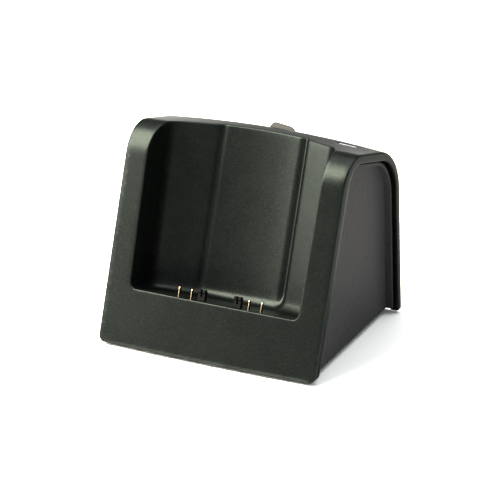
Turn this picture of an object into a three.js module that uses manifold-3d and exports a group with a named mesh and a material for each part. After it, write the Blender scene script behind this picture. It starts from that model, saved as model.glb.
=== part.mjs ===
// Desktop charging cradle for a handheld organiser, with a spare-battery pocket at the rear.
// Millimetres, +Z up, X to the right seen from the front, Y to the rear, feet on Z = 0.

import * as THREE from 'three';
import { mergeVertices } from 'three/addons/utils/BufferGeometryUtils.js';
import Module from 'manifold-3d';

const wasm = await Module();
wasm.setup();

const rad = (degrees) => (degrees * Math.PI) / 180;

// Saddle shell
const shellWidth = 80;
const baseDepth = 69.4;
const cornerHeight = 70.6;
const shellLift = 1.0;
const frontLean = rad(19.3);
const topSlope = rad(15.7);
const rearLean = rad(4.0);
const frontBendRadius = 11.8;
const rearBendRadius = 20.0;
const frontBow = 0.95;
const topCrown = 2.95;
const crownGrowth = 1.25;
const crownTail = 14;
const shellWall = 2.4;
const rearWall = 2.2;
const edgeBandFront = 3.3;
const edgeBandSpread = 1.4;
const edgeBandTop = 2.95;
const edgeBandRear = 2.3;
const edgeBandDepth = 3.1;
const edgeRounding = 0.4;
const frontCornerRadius = 2.0;
const rearCornerRadius = 1.0;
const bottomClear = 4;

// Side panels
const panelInset = 1.7;
const panelGap = 0.6;
const panelRim = 1.2;
const panelBodyDepth = 4.4;
const panelSkin = 1.9;
const panelHollowMargin = 1.5;
const padHeight = 4;
const padReach = 2.2;
const frontPadStarts = [34, 54];
const rearPadStarts = [12, 36];
const panelLift = 1.3;
const fieldDepthFront = 0.15;
const fieldDepthRear = 2.4;

// Device bay, measured along the front face and square to it
const lipHeight = 19.97;
const legWidth = 9.0;
const bayHalfWidth = shellWidth / 2 - legWidth;
const bayFrontReach = 9;
const bayFlare = 0.75;
const bayFlareHeight = 46;
const bayDepth = 21.2;
const backHollow = 0.8;
const stepHalfWidth = 13.5;
const stepRun = 3.4;
const stepRise = 1.7;
const stripEdgeX = bayHalfWidth - 5;
const stripRise = 3.9;
const sideWallDraft = 1.1;
const sideWallDepth = 8.5;
const sideCornerPull = 2.2;
const floorFillet = 3.2;
const bayWall = 1.6;

// Clearances and fits
const slideGap = 0.3;
const pieceGap = 0.25;
const seatGap = 0.25;

// Base group
const basePlateThickness = 1.8;
const basePlateRecess = 0.6;
const plateSideGap = 0.4;
const plateRearGap = 0.6;
const basePlateHalfWidth = shellWidth / 2 - panelInset - panelBodyDepth - plateSideGap;
const footRadius = 4.0;
const footSeat = 0.4;
const footFrontX = shellWidth / 2 - 11.5;
const footFrontY = 9.5;
const footRearX = shellWidth / 2 - 19.5;
const footRearY = baseDepth - 9.4;
const bossRadius = 3.1;
const bossBore = 1.35;
const bossBoreDepth = 8;
const screwShank = 1.2;
const screwHeadRadius = 2.6;
const screwHeadHeight = 0.75;
const screwLength = 8;
const frontBossX = 22;
const frontBossY = 15;
const frontBossTop = 15.6;
const rearBossX = shellWidth / 2 - 11;
const rearBossY = baseDepth - 9;
const rearBossTop = 22;
const ballastHalfWidth = 18.4;
const ballastFrontY = 8;
const ballastRearY = 33.5;
const ballastThickness = 3.4;
const ballastPegRadius = 1.6;
const ballastPegX = 14.5;

// Main board group
const boardLift = 4.2;
const boardThickness = 1.6;
const boardFrontY = 36;
const boardRearY = baseDepth - 6.4;
const boardNeckY = boardRearY - 7.4;
const boardHalfWidth = basePlateHalfWidth - 2.5;
const boardNeckHalfWidth = boardHalfWidth - 6.4;
const boardScrewInset = 3.5;
const boardRearScrewX = 9;
const postRadius = 2.3;
const boardScrewShank = 1.0;
const boardScrewHead = 1.9;
const boardScrewHeadHeight = 1.1;
const usbCentreX = -17;
const usbHalfWidth = 3.85;
const usbHeight = 3.9;
const jackCentreX = 17;
const jackHalfWidth = 4.5;
const jackHeight = 6.0;
const jackBore = 2.4;
const socketDepth = 9.4;
const socketSetback = 0.5;
const chipCentreX = -11;
const chipCentreY = boardFrontY + 10;
const chipHalf = 3.5;
const chipHeight = 1.5;
const chipLegReach = 4.6;
const chipLegPitch = 1.0;
const chipLegHalfWidth = 0.2;
const capacitorRadius = 2.05;
const capacitorHeight = 4.2;
const capacitorY = boardFrontY + 6.5;
const inductorCentreX = 19;
const inductorCentreY = boardFrontY + 8;
const inductorHalf = 3.4;
const inductorHeight = 2.4;

// Device contact group, in the leaning frame of the bay
const blockHalfWidth = 18;
const blockFront = 2.8;
const blockRear = 8.6;
const blockDrop = 6.6;
const contactOuterX = 15.2;
const contactInnerX = 10.6;
const contactThickness = 0.6;
const contactFront = 4.0;
const contactRear = 6.0;
const contactRise = 3.2;
const contactTravel = 1.5;
const contactShoulder = 0.5;
const pegCentreX = 6.6;
const pegHalfWidth = 1.25;
const pegRise = 3.0;
const pegFront = 4.2;
const pegRear = 6.0;
const pegHook = 0.35;
const pegSlotHalfWidth = 0.36;
const flexThickness = 0.3;
const flexHalfWidth = 6;

// Light pipe
const windowCentreX = shellWidth / 2 - 11.4;
const windowLength = 6.4;
const windowCentreY = 48.5;
const windowWidth = 1.4;
const pipeStemX = windowCentreX - 1.6;
const pipeStemWidth = 3.0;
const pipeNeck = cornerHeight - 8.2;
const pipeShoulder = 1.9;
const aboveTop = cornerHeight + 5;

// Spare battery pocket, in the leaning frame of the rear wall
const pocketHalfWidth = shellWidth / 2 - 17;
const pocketBottom = 18.5;
const pocketTop = cornerHeight - 18.6;
const pocketDepth = 7.2;
const trayWall = 1.5;
const trayFlange = 2.5;
const flangeThickness = 1.4;
const flangeTop = pocketTop - 12;
const scoopRadius = 8;
const scoopRise = 17;
const scoopDish = 0.7;
const batteryContactPitch = 6;
const batteryContactFront = -6.2;
const batteryContactRear = -3.8;
const batteryContactThickness = 0.8;
const batteryContactRise = 1.0;
const batteryContactTravel = 0.9;
const batteryBlockHalfWidth = 9;
const batteryBlockDrop = 4.4;

// Battery latch
const latchHalfWidth = 4.5;
const latchFrontY = baseDepth - 11.8;
const latchThickness = 1.8;
const latchTabTop = cornerHeight - 5.75;
const latchCorner = 2.0;
const tabSlant = 0.13;
const tabBevelRun = 1.3;
const tabBevelRise = 1.35;
const latchArmLow = cornerHeight - 15.7;
const latchArmHeight = 1.4;
const latchLipFrontY = baseDepth - 8.4;
const latchLipThickness = 1.5;
const latchLipLow = latchArmLow - 3.2;
const latchTravel = 2.2;
const springCentreY = latchFrontY - 2.5;
const springSeatHeight = 1.2;
const springCoilRadius = 1.5;
const springPostRadius = springCoilRadius + 0.7;
const springWire = 0.22;
const springTurns = 3.5;
const springLength = 5.6;
const springEndTurns = 0.75;
const springEndClimb = 0.72;
const springEndGap = 0.02;
const springPostReach = 4.2;

// Solid and geometry helpers

function solidOf(geometry) {
  const bare = geometry.index ? geometry.toNonIndexed() : geometry.clone();
  bare.deleteAttribute('normal');
  bare.deleteAttribute('uv');
  const welded = mergeVertices(bare, 1e-5);
  const mesh = new wasm.Mesh({
    numProp: 3,
    vertProperties: new Float32Array(welded.attributes.position.array),
    triVerts: new Uint32Array(welded.index.array),
  });
  return new wasm.Manifold(mesh);
}

function geometryOf(solid) {
  const data = solid.getMesh();
  const geometry = new THREE.BufferGeometry();
  const count = data.vertProperties.length / data.numProp;
  const position = new Float32Array(count * 3);
  for (let i = 0; i < count; i += 1) {
    for (let k = 0; k < 3; k += 1) position[i * 3 + k] = data.vertProperties[i * data.numProp + k];
  }
  geometry.setAttribute('position', new THREE.BufferAttribute(position, 3));
  geometry.setIndex(new THREE.BufferAttribute(new Uint32Array(data.triVerts), 1));
  return mergeVertices(geometry, 1e-4);
}

function join(...solids) {
  return solids.reduce((sum, solid) => sum.add(solid));
}

function cut(body, ...tools) {
  return tools.reduce((rest, tool) => rest.subtract(tool), body);
}

// A box from its two opposite corners.
function block(x0, x1, y0, y1, z0, z1) {
  const geometry = new THREE.BoxGeometry(x1 - x0, y1 - y0, z1 - z0);
  geometry.translate((x0 + x1) / 2, (y0 + y1) / 2, (z0 + z1) / 2);
  return solidOf(geometry);
}

// An upright round pin between two heights.
function pin(x, y, z0, z1, radius, sides = 20) {
  const geometry = new THREE.CylinderGeometry(radius, radius, z1 - z0, sides);
  geometry.rotateX(Math.PI / 2);
  geometry.translate(x, y, (z0 + z1) / 2);
  return solidOf(geometry);
}

// A round pin lying along Y.
function crossPin(x, z, y0, y1, radius, sides = 20) {
  const geometry = new THREE.CylinderGeometry(radius, radius, y1 - y0, sides);
  geometry.translate(x, (y0 + y1) / 2, z);
  return solidOf(geometry);
}

// A flat outline given in X and Z, thickened along Y.
function plateAlongY(points, y0, y1) {
  const shape = new THREE.Shape(points.map(([x, z]) => new THREE.Vector2(x, z)));
  const geometry = new THREE.ExtrudeGeometry(shape, { depth: y1 - y0, bevelEnabled: false });
  geometry.rotateX(Math.PI / 2);
  geometry.translate(0, y1, 0);
  return solidOf(geometry);
}

// A flat outline given in Y and Z, thickened along X.
function plateAlongX(points, x0, x1) {
  const rings = [x0, x1].map((x) => points.map(([y, z]) => new THREE.Vector3(x, y, z)));
  return skin(rings);
}

// Closed skin through rings that all have the same number of points.
function skin(rings) {
  const count = rings[0].length;
  const position = [];
  rings.forEach((ring) => ring.forEach((p) => position.push(p.x, p.y, p.z)));
  const index = [];
  for (let r = 0; r + 1 < rings.length; r += 1) {
    for (let i = 0; i < count; i += 1) {
      const j = (i + 1) % count;
      const a = r * count + i;
      const b = r * count + j;
      const c = (r + 1) * count + j;
      const d = (r + 1) * count + i;
      index.push(a, b, c, a, c, d);
    }
  }
  capEnd(rings[0], 0, -1, position, index);
  capEnd(rings[rings.length - 1], (rings.length - 1) * count, 1, position, index);
  const geometry = new THREE.BufferGeometry();
  geometry.setAttribute('position', new THREE.Float32BufferAttribute(position, 3));
  geometry.setIndex(index);
  return solidOf(ensureOutward(geometry));
}

// Fills an end ring, from its middle where points lie in line along a straight side.
function capEnd(ring, first, way, position, index) {
  const flat = flatten(ring);
  const faces = THREE.ShapeUtils.triangulateShape(flat.map((p) => p.clone()), []);
  if (faces.length < ring.length - 2) {
    const middle = ring.reduce((sum, p) => sum.add(p), new THREE.Vector3()).divideScalar(ring.length);
    const hub = position.length / 3;
    position.push(middle.x, middle.y, middle.z);
    ring.forEach((_, i) => {
      const j = (i + 1) % ring.length;
      index.push(first + (way > 0 ? i : j), first + (way > 0 ? j : i), hub);
    });
    return;
  }
  const faceArea = ([a, b, c]) => THREE.ShapeUtils.area([flat[a], flat[b], flat[c]]);
  const along = faces.reduce((sum, face) => sum + faceArea(face), 0) * THREE.ShapeUtils.area(flat) > 0;
  faces.forEach(([a, b, c]) => {
    const [d, e] = along === way > 0 ? [b, c] : [c, b];
    index.push(first + a, first + d, first + e);
  });
}

// Drops the axis in which a ring is thinnest, so that its end cap can be filled.
function flatten(ring) {
  const box = new THREE.Box3().setFromPoints(ring);
  const size = box.getSize(new THREE.Vector3());
  if (size.x <= size.y && size.x <= size.z) return ring.map((p) => new THREE.Vector2(p.y, p.z));
  if (size.y <= size.z) return ring.map((p) => new THREE.Vector2(p.z, p.x));
  return ring.map((p) => new THREE.Vector2(p.x, p.y));
}

function flip(geometry) {
  const index = geometry.index;
  for (let i = 0; i < index.count; i += 3) {
    const b = index.getX(i + 1);
    index.setX(i + 1, index.getX(i + 2));
    index.setX(i + 2, b);
  }
}

// Turns every face outward by the sign of the enclosed volume.
function ensureOutward(geometry) {
  const p = geometry.attributes.position;
  const index = geometry.index;
  const a = new THREE.Vector3();
  const b = new THREE.Vector3();
  const c = new THREE.Vector3();
  let volume = 0;
  for (let i = 0; i < index.count; i += 3) {
    a.fromBufferAttribute(p, index.getX(i));
    b.fromBufferAttribute(p, index.getX(i + 1));
    c.fromBufferAttribute(p, index.getX(i + 2));
    volume += a.dot(b.cross(c));
  }
  if (volume < 0) flip(geometry);
  return geometry;
}

function place(solid, matrix) {
  return solidOf(ensureOutward(geometryOf(solid).applyMatrix4(matrix)));
}

// Frames of the leaning bay and of the leaning rear wall

const bayFrame = new THREE.Matrix4()
  .makeTranslation(0, 0, shellLift)
  .multiply(new THREE.Matrix4().makeRotationX(-frontLean));

const rearFrame = new THREE.Matrix4()
  .makeTranslation(0, baseDepth, shellLift)
  .multiply(new THREE.Matrix4().makeRotationX(rearLean));

// Side outline of the saddle: front line, front bend, top, rear bend, rear wall

function cross2(a, b) {
  return a.x * b.y - a.y * b.x;
}

function meet(p, d, q, e) {
  const t = cross2(new THREE.Vector2().subVectors(q, p), e) / cross2(d, e);
  return p.clone().addScaledVector(d, t);
}

function bend(corner, dirIn, dirOut, radius, steps) {
  const angle = Math.acos(dirIn.dot(dirOut));
  const reach = radius * Math.tan(angle / 2);
  const start = corner.clone().addScaledVector(dirIn, -reach);
  const centre = start.clone().add(new THREE.Vector2(dirIn.y, -dirIn.x).multiplyScalar(radius));
  const points = [];
  for (let i = 0; i <= steps; i += 1) {
    points.push(start.clone().rotateAround(centre, (-angle * i) / steps));
  }
  return points;
}

function spread(a, b, steps) {
  const points = [];
  for (let i = 1; i < steps; i += 1) points.push(a.clone().lerp(b, i / steps));
  return points;
}

// The outline moved inward by its own amount on the front, top and rear, down to a given height.
// A widening leans its front line further in towards the top.
function saddleOutline(inFront, inTop, inRear, bottom, widening = 0) {
  const faceUp = new THREE.Vector2(Math.sin(frontLean), Math.cos(frontLean));
  const lean = frontLean + Math.atan(widening / (cornerHeight / faceUp.y));
  const up = new THREE.Vector2(Math.sin(lean), Math.cos(lean));
  const back = new THREE.Vector2(Math.cos(topSlope), -Math.sin(topSlope));
  const down = new THREE.Vector2(Math.sin(rearLean), -Math.cos(rearLean));
  const frontPoint = new THREE.Vector2(faceUp.y, -faceUp.x).multiplyScalar(inFront);
  const outerCorner = faceUp.clone().multiplyScalar(cornerHeight / faceUp.y);
  const topPoint = outerCorner.clone().add(new THREE.Vector2(back.y, -back.x).multiplyScalar(inTop));
  const rearPoint = new THREE.Vector2(baseDepth, 0).add(
    new THREE.Vector2(down.y, -down.x).multiplyScalar(inRear));
  const level = new THREE.Vector2(1, 0);
  const floor = new THREE.Vector2(0, bottom - shellLift);
  const frontFoot = meet(frontPoint, up, floor, level);
  const rearFoot = meet(rearPoint, down, floor, level);
  const corner1 = meet(frontPoint, up, topPoint, back);
  const corner2 = meet(topPoint, back, rearPoint, down);
  const bend1 = bend(corner1, up, back, frontBendRadius - (inFront + widening + inTop) / 2, 7);
  const bend2 = bend(corner2, back, down, rearBendRadius - (inTop + inRear) / 2, 9);
  return [
    frontFoot,
    ...bend1,
    ...spread(bend1[bend1.length - 1], bend2[0], 4),
    ...bend2,
    ...spread(bend2[bend2.length - 1], rearFoot, 4),
    rearFoot,
  ];
}

// Bows the front in plan and crowns the top across the width.
function warp(x, p) {
  const u = (2 * x) / shellWidth;
  const lens = Math.max(0, 1 - u * u);
  const forward = Math.max(0, 1 - p.x / baseDepth);
  const bendY = cornerHeight * Math.tan(frontLean);
  const along = Math.min(1, Math.max(0, (p.x - bendY) / (baseDepth - crownTail - bendY)));
  const height = Math.min(1, Math.max(0, p.y / cornerHeight));
  const crown = topCrown * along ** crownGrowth * lens * height * height;
  return new THREE.Vector3(x, p.x - frontBow * lens * forward, p.y + crown + shellLift);
}

function stations(half, count) {
  return Array.from({ length: count + 1 }, (_, i) => -half + (2 * half * i) / count);
}

function saddleLoft(outline, xs) {
  return skin(xs.map((x) => outline.map((p) => warp(x, p))));
}

function outerSaddle() {
  const half = shellWidth / 2;
  const outline = saddleOutline(0, 0, 0, shellLift);
  const eased = saddleOutline(edgeRounding, edgeRounding, edgeRounding, shellLift);
  const rings = stations(half - edgeRounding, 16).map((x) => outline.map((p) => warp(x, p)));
  rings.unshift(eased.map((p) => warp(-half, p)));
  rings.push(eased.map((p) => warp(half, p)));
  return skin(rings);
}

function innerSaddle() {
  const outline = saddleOutline(shellWall, shellWall, rearWall, shellLift - bottomClear);
  return saddleLoft(outline, stations(shellWidth / 2 - edgeBandDepth, 12));
}

function sideOpenings() {
  const outline = saddleOutline(
    edgeBandFront, edgeBandTop, edgeBandRear, shellLift - bottomClear, edgeBandSpread);
  const half = shellWidth / 2;
  const inner = half - edgeBandDepth - 1;
  const outer = half + 2;
  const right = skin([inner, outer].map((x) => outline.map((p) => warp(Math.min(x, half), p).setX(x))));
  const left = skin([-outer, -inner].map((x) => outline.map((p) => warp(Math.max(x, -half), p).setX(x))));
  return join(right, left);
}

// What is taken off both ends of the shell's lower edge to round them, between two depths.
function footCorners(r, y0, y1) {
  const half = shellWidth / 2;
  const low = shellLift;
  const arc = Array.from({ length: 7 }, (_, i) => {
    const a = (Math.PI / 2) * (i / 6);
    return [half - r + r * Math.cos(a), low + r - r * Math.sin(a)];
  });
  const outline = [[half - r, low - 1], [half + 1, low - 1], [half + 1, low + r], ...arc];
  const right = plateAlongY(outline, y0, y1);
  return join(right, place(right, new THREE.Matrix4().makeScale(-1, 1, 1)));
}

// Device bay: its plan outline lies across the lean, from the open front to the hollow back

function bayHalfOutline() {
  const points = [[bayHalfWidth, -bayFrontReach], [bayHalfWidth, 0]];
  const wallEnd = new THREE.Vector2(bayHalfWidth - sideWallDraft, sideWallDepth);
  const stepOut = stepHalfWidth + stepRun;
  const stripEnd = new THREE.Vector2(stripEdgeX, bayDepth - backHollow - stepRise - stripRise);
  const curve = new THREE.QuadraticBezierCurve(
    wallEnd,
    new THREE.Vector2(bayHalfWidth - 1.4 * sideWallDraft, stripEnd.y - sideCornerPull),
    stripEnd);
  curve.getPoints(4).forEach((p) => points.push([p.x, p.y]));
  const stepFront = bayDepth - backHollow - stepRise;
  points.push([stepOut, stepFront]);
  points.push([stepOut - 0.2 * stepRun, stepFront + 0.1 * stepRise]);
  points.push([stepHalfWidth + 0.2 * stepRun, stepFront + 0.9 * stepRise]);
  for (let i = 0; i < 5; i += 1) {
    const t = 1 - i / 5;
    points.push([stepHalfWidth * t, bayDepth - backHollow * t * t]);
  }
  points.push([0, bayDepth]);
  return points;
}

function bayOutline() {
  const half = bayHalfOutline();
  const mirrored = half.slice(0, -1).reverse().map(([x, p]) => [-x, p]);
  return [...half, ...mirrored].map(([x, p]) => new THREE.Vector2(x, p));
}

function inwardNormals(outline) {
  return outline.map((p, i) => {
    const before = outline[(i + outline.length - 1) % outline.length];
    const after = outline[(i + 1) % outline.length];
    const a = new THREE.Vector2().subVectors(p, before).normalize();
    const b = new THREE.Vector2().subVectors(after, p).normalize();
    const na = new THREE.Vector2(-a.y, a.x);
    const nb = new THREE.Vector2(-b.y, b.x);
    const n = na.clone().add(nb).normalize();
    return n.divideScalar(Math.max(0.5, n.dot(na)));
  });
}

// The bay as a solid, grown outward by a wall when its liner is wanted.
function baySolid(grow) {
  const outline = bayOutline();
  const normals = inwardNormals(outline);
  const open = new Set([0, outline.length - 1]);
  const fillet = floorFillet + grow;
  const floor = lipHeight - grow;
  const levels = [];
  const steps = 5;
  for (let i = 0; i <= steps; i += 1) {
    const angle = (Math.PI / 2) * (i / steps);
    levels.push([floor + fillet * (1 - Math.cos(angle)), fillet * (1 - Math.sin(angle)) - grow]);
  }
  levels.push([lipHeight + bayFlareHeight, -grow]);
  levels.push([lipHeight + 2 * bayFlareHeight, -grow]);
  const rings = levels.map(([s, inset]) => outline.map((p, i) => {
    const n = normals[i].clone();
    if (open.has(i)) n.set(Math.sign(-p.x), 0);
    const back = Math.min(1, Math.abs(n.y));
    const reach = inset > 0 ? inset * (0.6 + 0.4 * back) : inset;
    const outerShare = Math.min(1, Math.max(0, (Math.abs(p.x) - stepHalfWidth - stepRun)
      / (bayHalfWidth - stepHalfWidth - stepRun)));
    const flare = (bayFlare * outerShare * (s - lipHeight)) / bayFlareHeight;
    const x = p.x + Math.sign(p.x) * Math.max(0, flare) + n.x * reach;
    const depth = p.y + (open.has(i) ? 0 : n.y * reach);
    return new THREE.Vector3(x, depth, s);
  }));
  return place(skin(rings), bayFrame);
}

// Heights shared by the pieces stacked inside
const plateLow = shellLift + basePlateRecess;
const plateTop = plateLow + basePlateThickness;
const boardLow = plateTop + boardLift;
const boardTop = boardLow + boardThickness;

// Outer shell

function baySlots() {
  const low = lipHeight - bayWall - 1;
  const high = lipHeight + 1;
  const slots = [];
  contactPositions().forEach((x) => {
    const half = contactThickness / 2 + slideGap;
    slots.push(block(x - half, x + half, contactFront - slideGap, contactRear + slideGap, low, high));
  });
  [-1, 1].forEach((side) => {
    const x = side * pegCentreX;
    const half = pegHalfWidth + pieceGap;
    slots.push(block(x - half, x + half, pegFront - pieceGap, pegRear + pieceGap, low, high));
  });
  return place(join(...slots), bayFrame);
}

function frontPads() {
  const inner = bayHalfWidth + bayWall - 0.2;
  const outer = shellWidth / 2 - panelInset - panelBodyDepth;
  const pads = [];
  [-1, 1].forEach((side) => frontPadStarts.forEach((s) => {
    const xs = [side * inner, side * outer].sort((a, b) => a - b);
    const deep = edgeBandFront + edgeBandSpread + padReach;
    pads.push(block(xs[0], xs[1], shellWall - 0.3, deep, s, s + padHeight));
  }));
  return place(join(...pads), bayFrame);
}

function rearPads() {
  const outer = shellWidth / 2 - panelInset - panelBodyDepth;
  const pads = [];
  [-1, 1].forEach((side) => rearPadStarts.forEach((z) => {
    const xs = [side * (outer - 1.4), side * outer].sort((a, b) => a - b);
    pads.push(block(xs[0], xs[1], -edgeBandRear - padReach, 0.4 - rearWall, z, z + padHeight));
  }));
  return place(join(...pads), rearFrame);
}

function shellBosses() {
  const bosses = [];
  [-1, 1].forEach((side) => {
    bosses.push(pin(side * frontBossX, frontBossY, plateTop, frontBossTop, bossRadius));
    bosses.push(pin(side * rearBossX, rearBossY, plateTop, rearBossTop, bossRadius));
    bosses.push(block(
      side * rearBossX - 1, side * rearBossX + 1, rearBossY, baseDepth - rearWall,
      plateTop + 1, rearBossTop - 2));
  });
  bosses.push(pin(0, springCentreY, springTop(), springTop() + springPostReach, springPostRadius, 16));
  return join(...bosses);
}

function bossBores() {
  const bores = [];
  [-1, 1].forEach((side) => {
    bores.push(pin(side * frontBossX, frontBossY, plateTop - 1, plateTop + bossBoreDepth, bossBore, 14));
    bores.push(pin(side * rearBossX, rearBossY, plateTop - 1, plateTop + bossBoreDepth, bossBore, 14));
  });
  return join(...bores);
}

function springLow() {
  return latchArmLow + springSeatHeight;
}

function springTop() {
  return springLow() + springLength;
}

function trayHole() {
  const half = pocketHalfWidth + trayWall + pieceGap;
  return place(
    block(-half, half, -rearWall - 2, 4, pocketBottom - trayWall - pieceGap, pocketTop + trayWall + pieceGap),
    rearFrame);
}

function latchHoles() {
  const half = latchHalfWidth + slideGap;
  const rearY = latchFrontY + latchThickness;
  const slot = block(-half, half, latchFrontY - slideGap, rearY + slideGap, latchArmLow + 3, latchTabTop + 6);
  const low = latchArmLow - slideGap - 0.8;
  const high = latchArmLow + latchArmHeight + latchTravel + slideGap;
  const hookEnd = latchLipFrontY + latchLipThickness + slideGap;
  return join(slot, block(-half, half, latchFrontY, hookEnd + 6, low, high));
}

function windowHole() {
  const half = windowLength / 2 + pieceGap;
  const halfY = windowWidth / 2 + pieceGap;
  return block(
    windowCentreX - half, windowCentreX + half, windowCentreY - halfY, windowCentreY + halfY,
    pipeNeck - 4, aboveTop);
}

function socketHoles() {
  const y0 = baseDepth - rearWall - 4;
  const usb = block(
    usbCentreX - usbHalfWidth - pieceGap, usbCentreX + usbHalfWidth + pieceGap,
    y0, baseDepth + 2, boardTop - pieceGap, boardTop + usbHeight + pieceGap);
  const jack = block(
    jackCentreX - jackHalfWidth - pieceGap, jackCentreX + jackHalfWidth + pieceGap,
    y0, baseDepth + 2, boardTop - pieceGap, boardTop + jackHeight + pieceGap);
  return join(usb, jack);
}

function outerShell() {
  const outer = outerSaddle();
  const skinOnly = cut(outer, innerSaddle(), sideOpenings());
  const liner = baySolid(bayWall).intersect(outer);
  const supports = join(frontPads(), rearPads(), shellBosses()).intersect(outer);
  const body = join(skinOnly, liner, supports);
  return cut(
    body, baySolid(0), baySlots(), bossBores(), trayHole(), latchHoles(), windowHole(), socketHoles(),
    footCorners(frontCornerRadius, -frontBow - 1, edgeBandFront + 4),
    footCorners(rearCornerRadius, baseDepth - edgeBandRear - 1, baseDepth + 1));
}

// Side panels

function fieldX(y) {
  const t = Math.min(1, Math.max(0, y / baseDepth));
  return shellWidth / 2 - panelInset - (fieldDepthFront + (fieldDepthRear - fieldDepthFront) * t);
}

function panelPrism(margin, bottom, innerX, outerX) {
  const extra = panelGap + margin;
  const outline = saddleOutline(
    edgeBandFront + extra, edgeBandTop + extra, edgeBandRear + extra, bottom, edgeBandSpread);
  const rim = shellWidth / 2 - 0.01;
  return skin([innerX, outerX].map((at) => outline.map((p) => {
    const flat = warp(rim, p);
    return flat.setX(at(flat.y));
  })));
}

function sidePanel(side) {
  const face = shellWidth / 2 - panelInset;
  const back = face - panelBodyDepth;
  const bottom = shellLift + panelLift;
  const body = panelPrism(0, bottom, () => back, () => face);
  const field = panelPrism(panelRim, bottom - 1, fieldX, () => face + 3);
  const hollow = panelPrism(
    panelRim + panelHollowMargin, bottom + panelRim + panelHollowMargin,
    () => back - 3, (y) => fieldX(y) - panelSkin);
  const panel = cut(body, field, hollow);
  if (side > 0) return panel;
  return place(panel, new THREE.Matrix4().makeScale(-1, 1, 1));
}

// Base plate, feet, screws and ballast

function frontInnerY(z) {
  const rise = z - shellLift;
  return (shellWall + pieceGap + rise * Math.sin(frontLean)) / Math.cos(frontLean);
}

const footSpots = [
  [-footFrontX, footFrontY], [footFrontX, footFrontY], [-footRearX, footRearY], [footRearX, footRearY],
];
const baseScrewSpots = [
  [-frontBossX, frontBossY], [frontBossX, frontBossY], [-rearBossX, rearBossY], [rearBossX, rearBossY],
];
const ballastPegSpots = [
  [-ballastPegX, ballastFrontY + 5], [ballastPegX, ballastRearY - 5],
];
const boardPostSpots = [
  [boardScrewInset - boardHalfWidth, boardFrontY + boardScrewInset],
  [boardHalfWidth - boardScrewInset, boardFrontY + boardScrewInset],
  [-boardRearScrewX, boardRearY - 4],
  [boardRearScrewX, boardRearY - 4],
];

function basePlate() {
  const y0 = frontInnerY(plateTop);
  const y1 = baseDepth - rearWall - plateRearGap;
  let plate = block(-basePlateHalfWidth, basePlateHalfWidth, y0, y1, plateLow, plateTop);
  ballastPegSpots.forEach(([x, y]) => {
    plate = plate.add(pin(x, y, plateTop - 0.2, plateTop + ballastThickness + 0.8, ballastPegRadius));
  });
  boardPostSpots.forEach(([x, y]) => {
    plate = plate.add(pin(x, y, plateTop - 0.2, boardLow, postRadius));
    plate = plate.subtract(pin(x, y, plateTop + 0.4, boardLow + 1, boardScrewShank + 0.12, 12));
  });
  footSpots.forEach(([x, y]) => {
    plate = plate.subtract(pin(x, y, plateLow - 1, plateLow + footSeat, footRadius + pieceGap, 28));
  });
  baseScrewSpots.forEach(([x, y]) => {
    plate = plate.subtract(pin(x, y, plateLow - 1, plateLow + screwHeadHeight, screwHeadRadius + pieceGap));
    plate = plate.subtract(pin(x, y, plateLow - 1, plateTop + 1, screwShank + pieceGap, 14));
  });
  return plate;
}

function rubberFoot(x, y) {
  const profile = [
    [0, 0], [footRadius - 0.6, 0], [footRadius - 0.15, 0.2], [footRadius, 0.6],
    [footRadius, plateLow + footSeat], [0, plateLow + footSeat],
  ].map(([r, z]) => new THREE.Vector2(r, z));
  const geometry = new THREE.LatheGeometry(profile, 28);
  geometry.rotateX(Math.PI / 2);
  geometry.translate(x, y, 0);
  return solidOf(ensureOutward(weld(geometry)));
}

function weld(geometry) {
  geometry.deleteAttribute('normal');
  geometry.deleteAttribute('uv');
  return dropSlivers(mergeVertices(geometry, 1e-5));
}

// Removes the empty triangles that a turned profile leaves on its axis.
function dropSlivers(geometry) {
  const kept = [];
  const index = geometry.index;
  for (let i = 0; i < index.count; i += 3) {
    const a = index.getX(i);
    const b = index.getX(i + 1);
    const c = index.getX(i + 2);
    if (a !== b && b !== c && a !== c) kept.push(a, b, c);
  }
  geometry.setIndex(kept);
  return geometry;
}

// Pan-head screw pointing up (way = 1) or down (way = -1) from the face under its head.
function screw(x, y, seat, way, shank, shankLength, head, headHeight) {
  const ends = (a, b) => [Math.min(a, b), Math.max(a, b)];
  const [s0, s1] = ends(seat - way * 0.1, seat + way * shankLength);
  const [h0, h1] = ends(seat, seat - way * headHeight);
  const body = join(pin(x, y, s0, s1, shank, 12), pin(x, y, h0, h1, head, 18));
  const slotDepth = headHeight * 0.55;
  const [c0, c1] = ends(seat - way * (headHeight - slotDepth), seat - way * (headHeight + 1));
  const arm = head * 0.55;
  return cut(
    body,
    block(x - arm, x + arm, y - 0.22, y + 0.22, c0, c1),
    block(x - 0.22, x + 0.22, y - arm, y + arm, c0, c1));
}

function baseScrew(x, y) {
  return screw(
    x, y, plateLow + screwHeadHeight, 1, screwShank, screwLength - 0.4, screwHeadRadius, screwHeadHeight);
}

function ballastPlate() {
  const low = plateTop;
  let plate = block(
    -ballastHalfWidth, ballastHalfWidth, ballastFrontY, ballastRearY, low, low + ballastThickness);
  ballastPegSpots.forEach(([x, y]) => {
    plate = plate.subtract(pin(x, y, low - 1, low + ballastThickness + 1, ballastPegRadius + pieceGap));
  });
  return plate;
}

// Main board and what is soldered to it

function mainBoard() {
  let board = join(
    block(-boardHalfWidth, boardHalfWidth, boardFrontY, boardNeckY, boardLow, boardTop),
    block(-boardNeckHalfWidth, boardNeckHalfWidth, boardNeckY - 1, boardRearY, boardLow, boardTop));
  boardPostSpots.forEach(([x, y]) => {
    board = board.subtract(pin(x, y, boardLow - 1, boardTop + 1, boardScrewShank + 0.25, 12));
  });
  return board;
}

function boardScrew(x, y) {
  return screw(
    x, y, boardTop, -1, boardScrewShank, boardThickness + 2.6, boardScrewHead, boardScrewHeadHeight);
}

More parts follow.
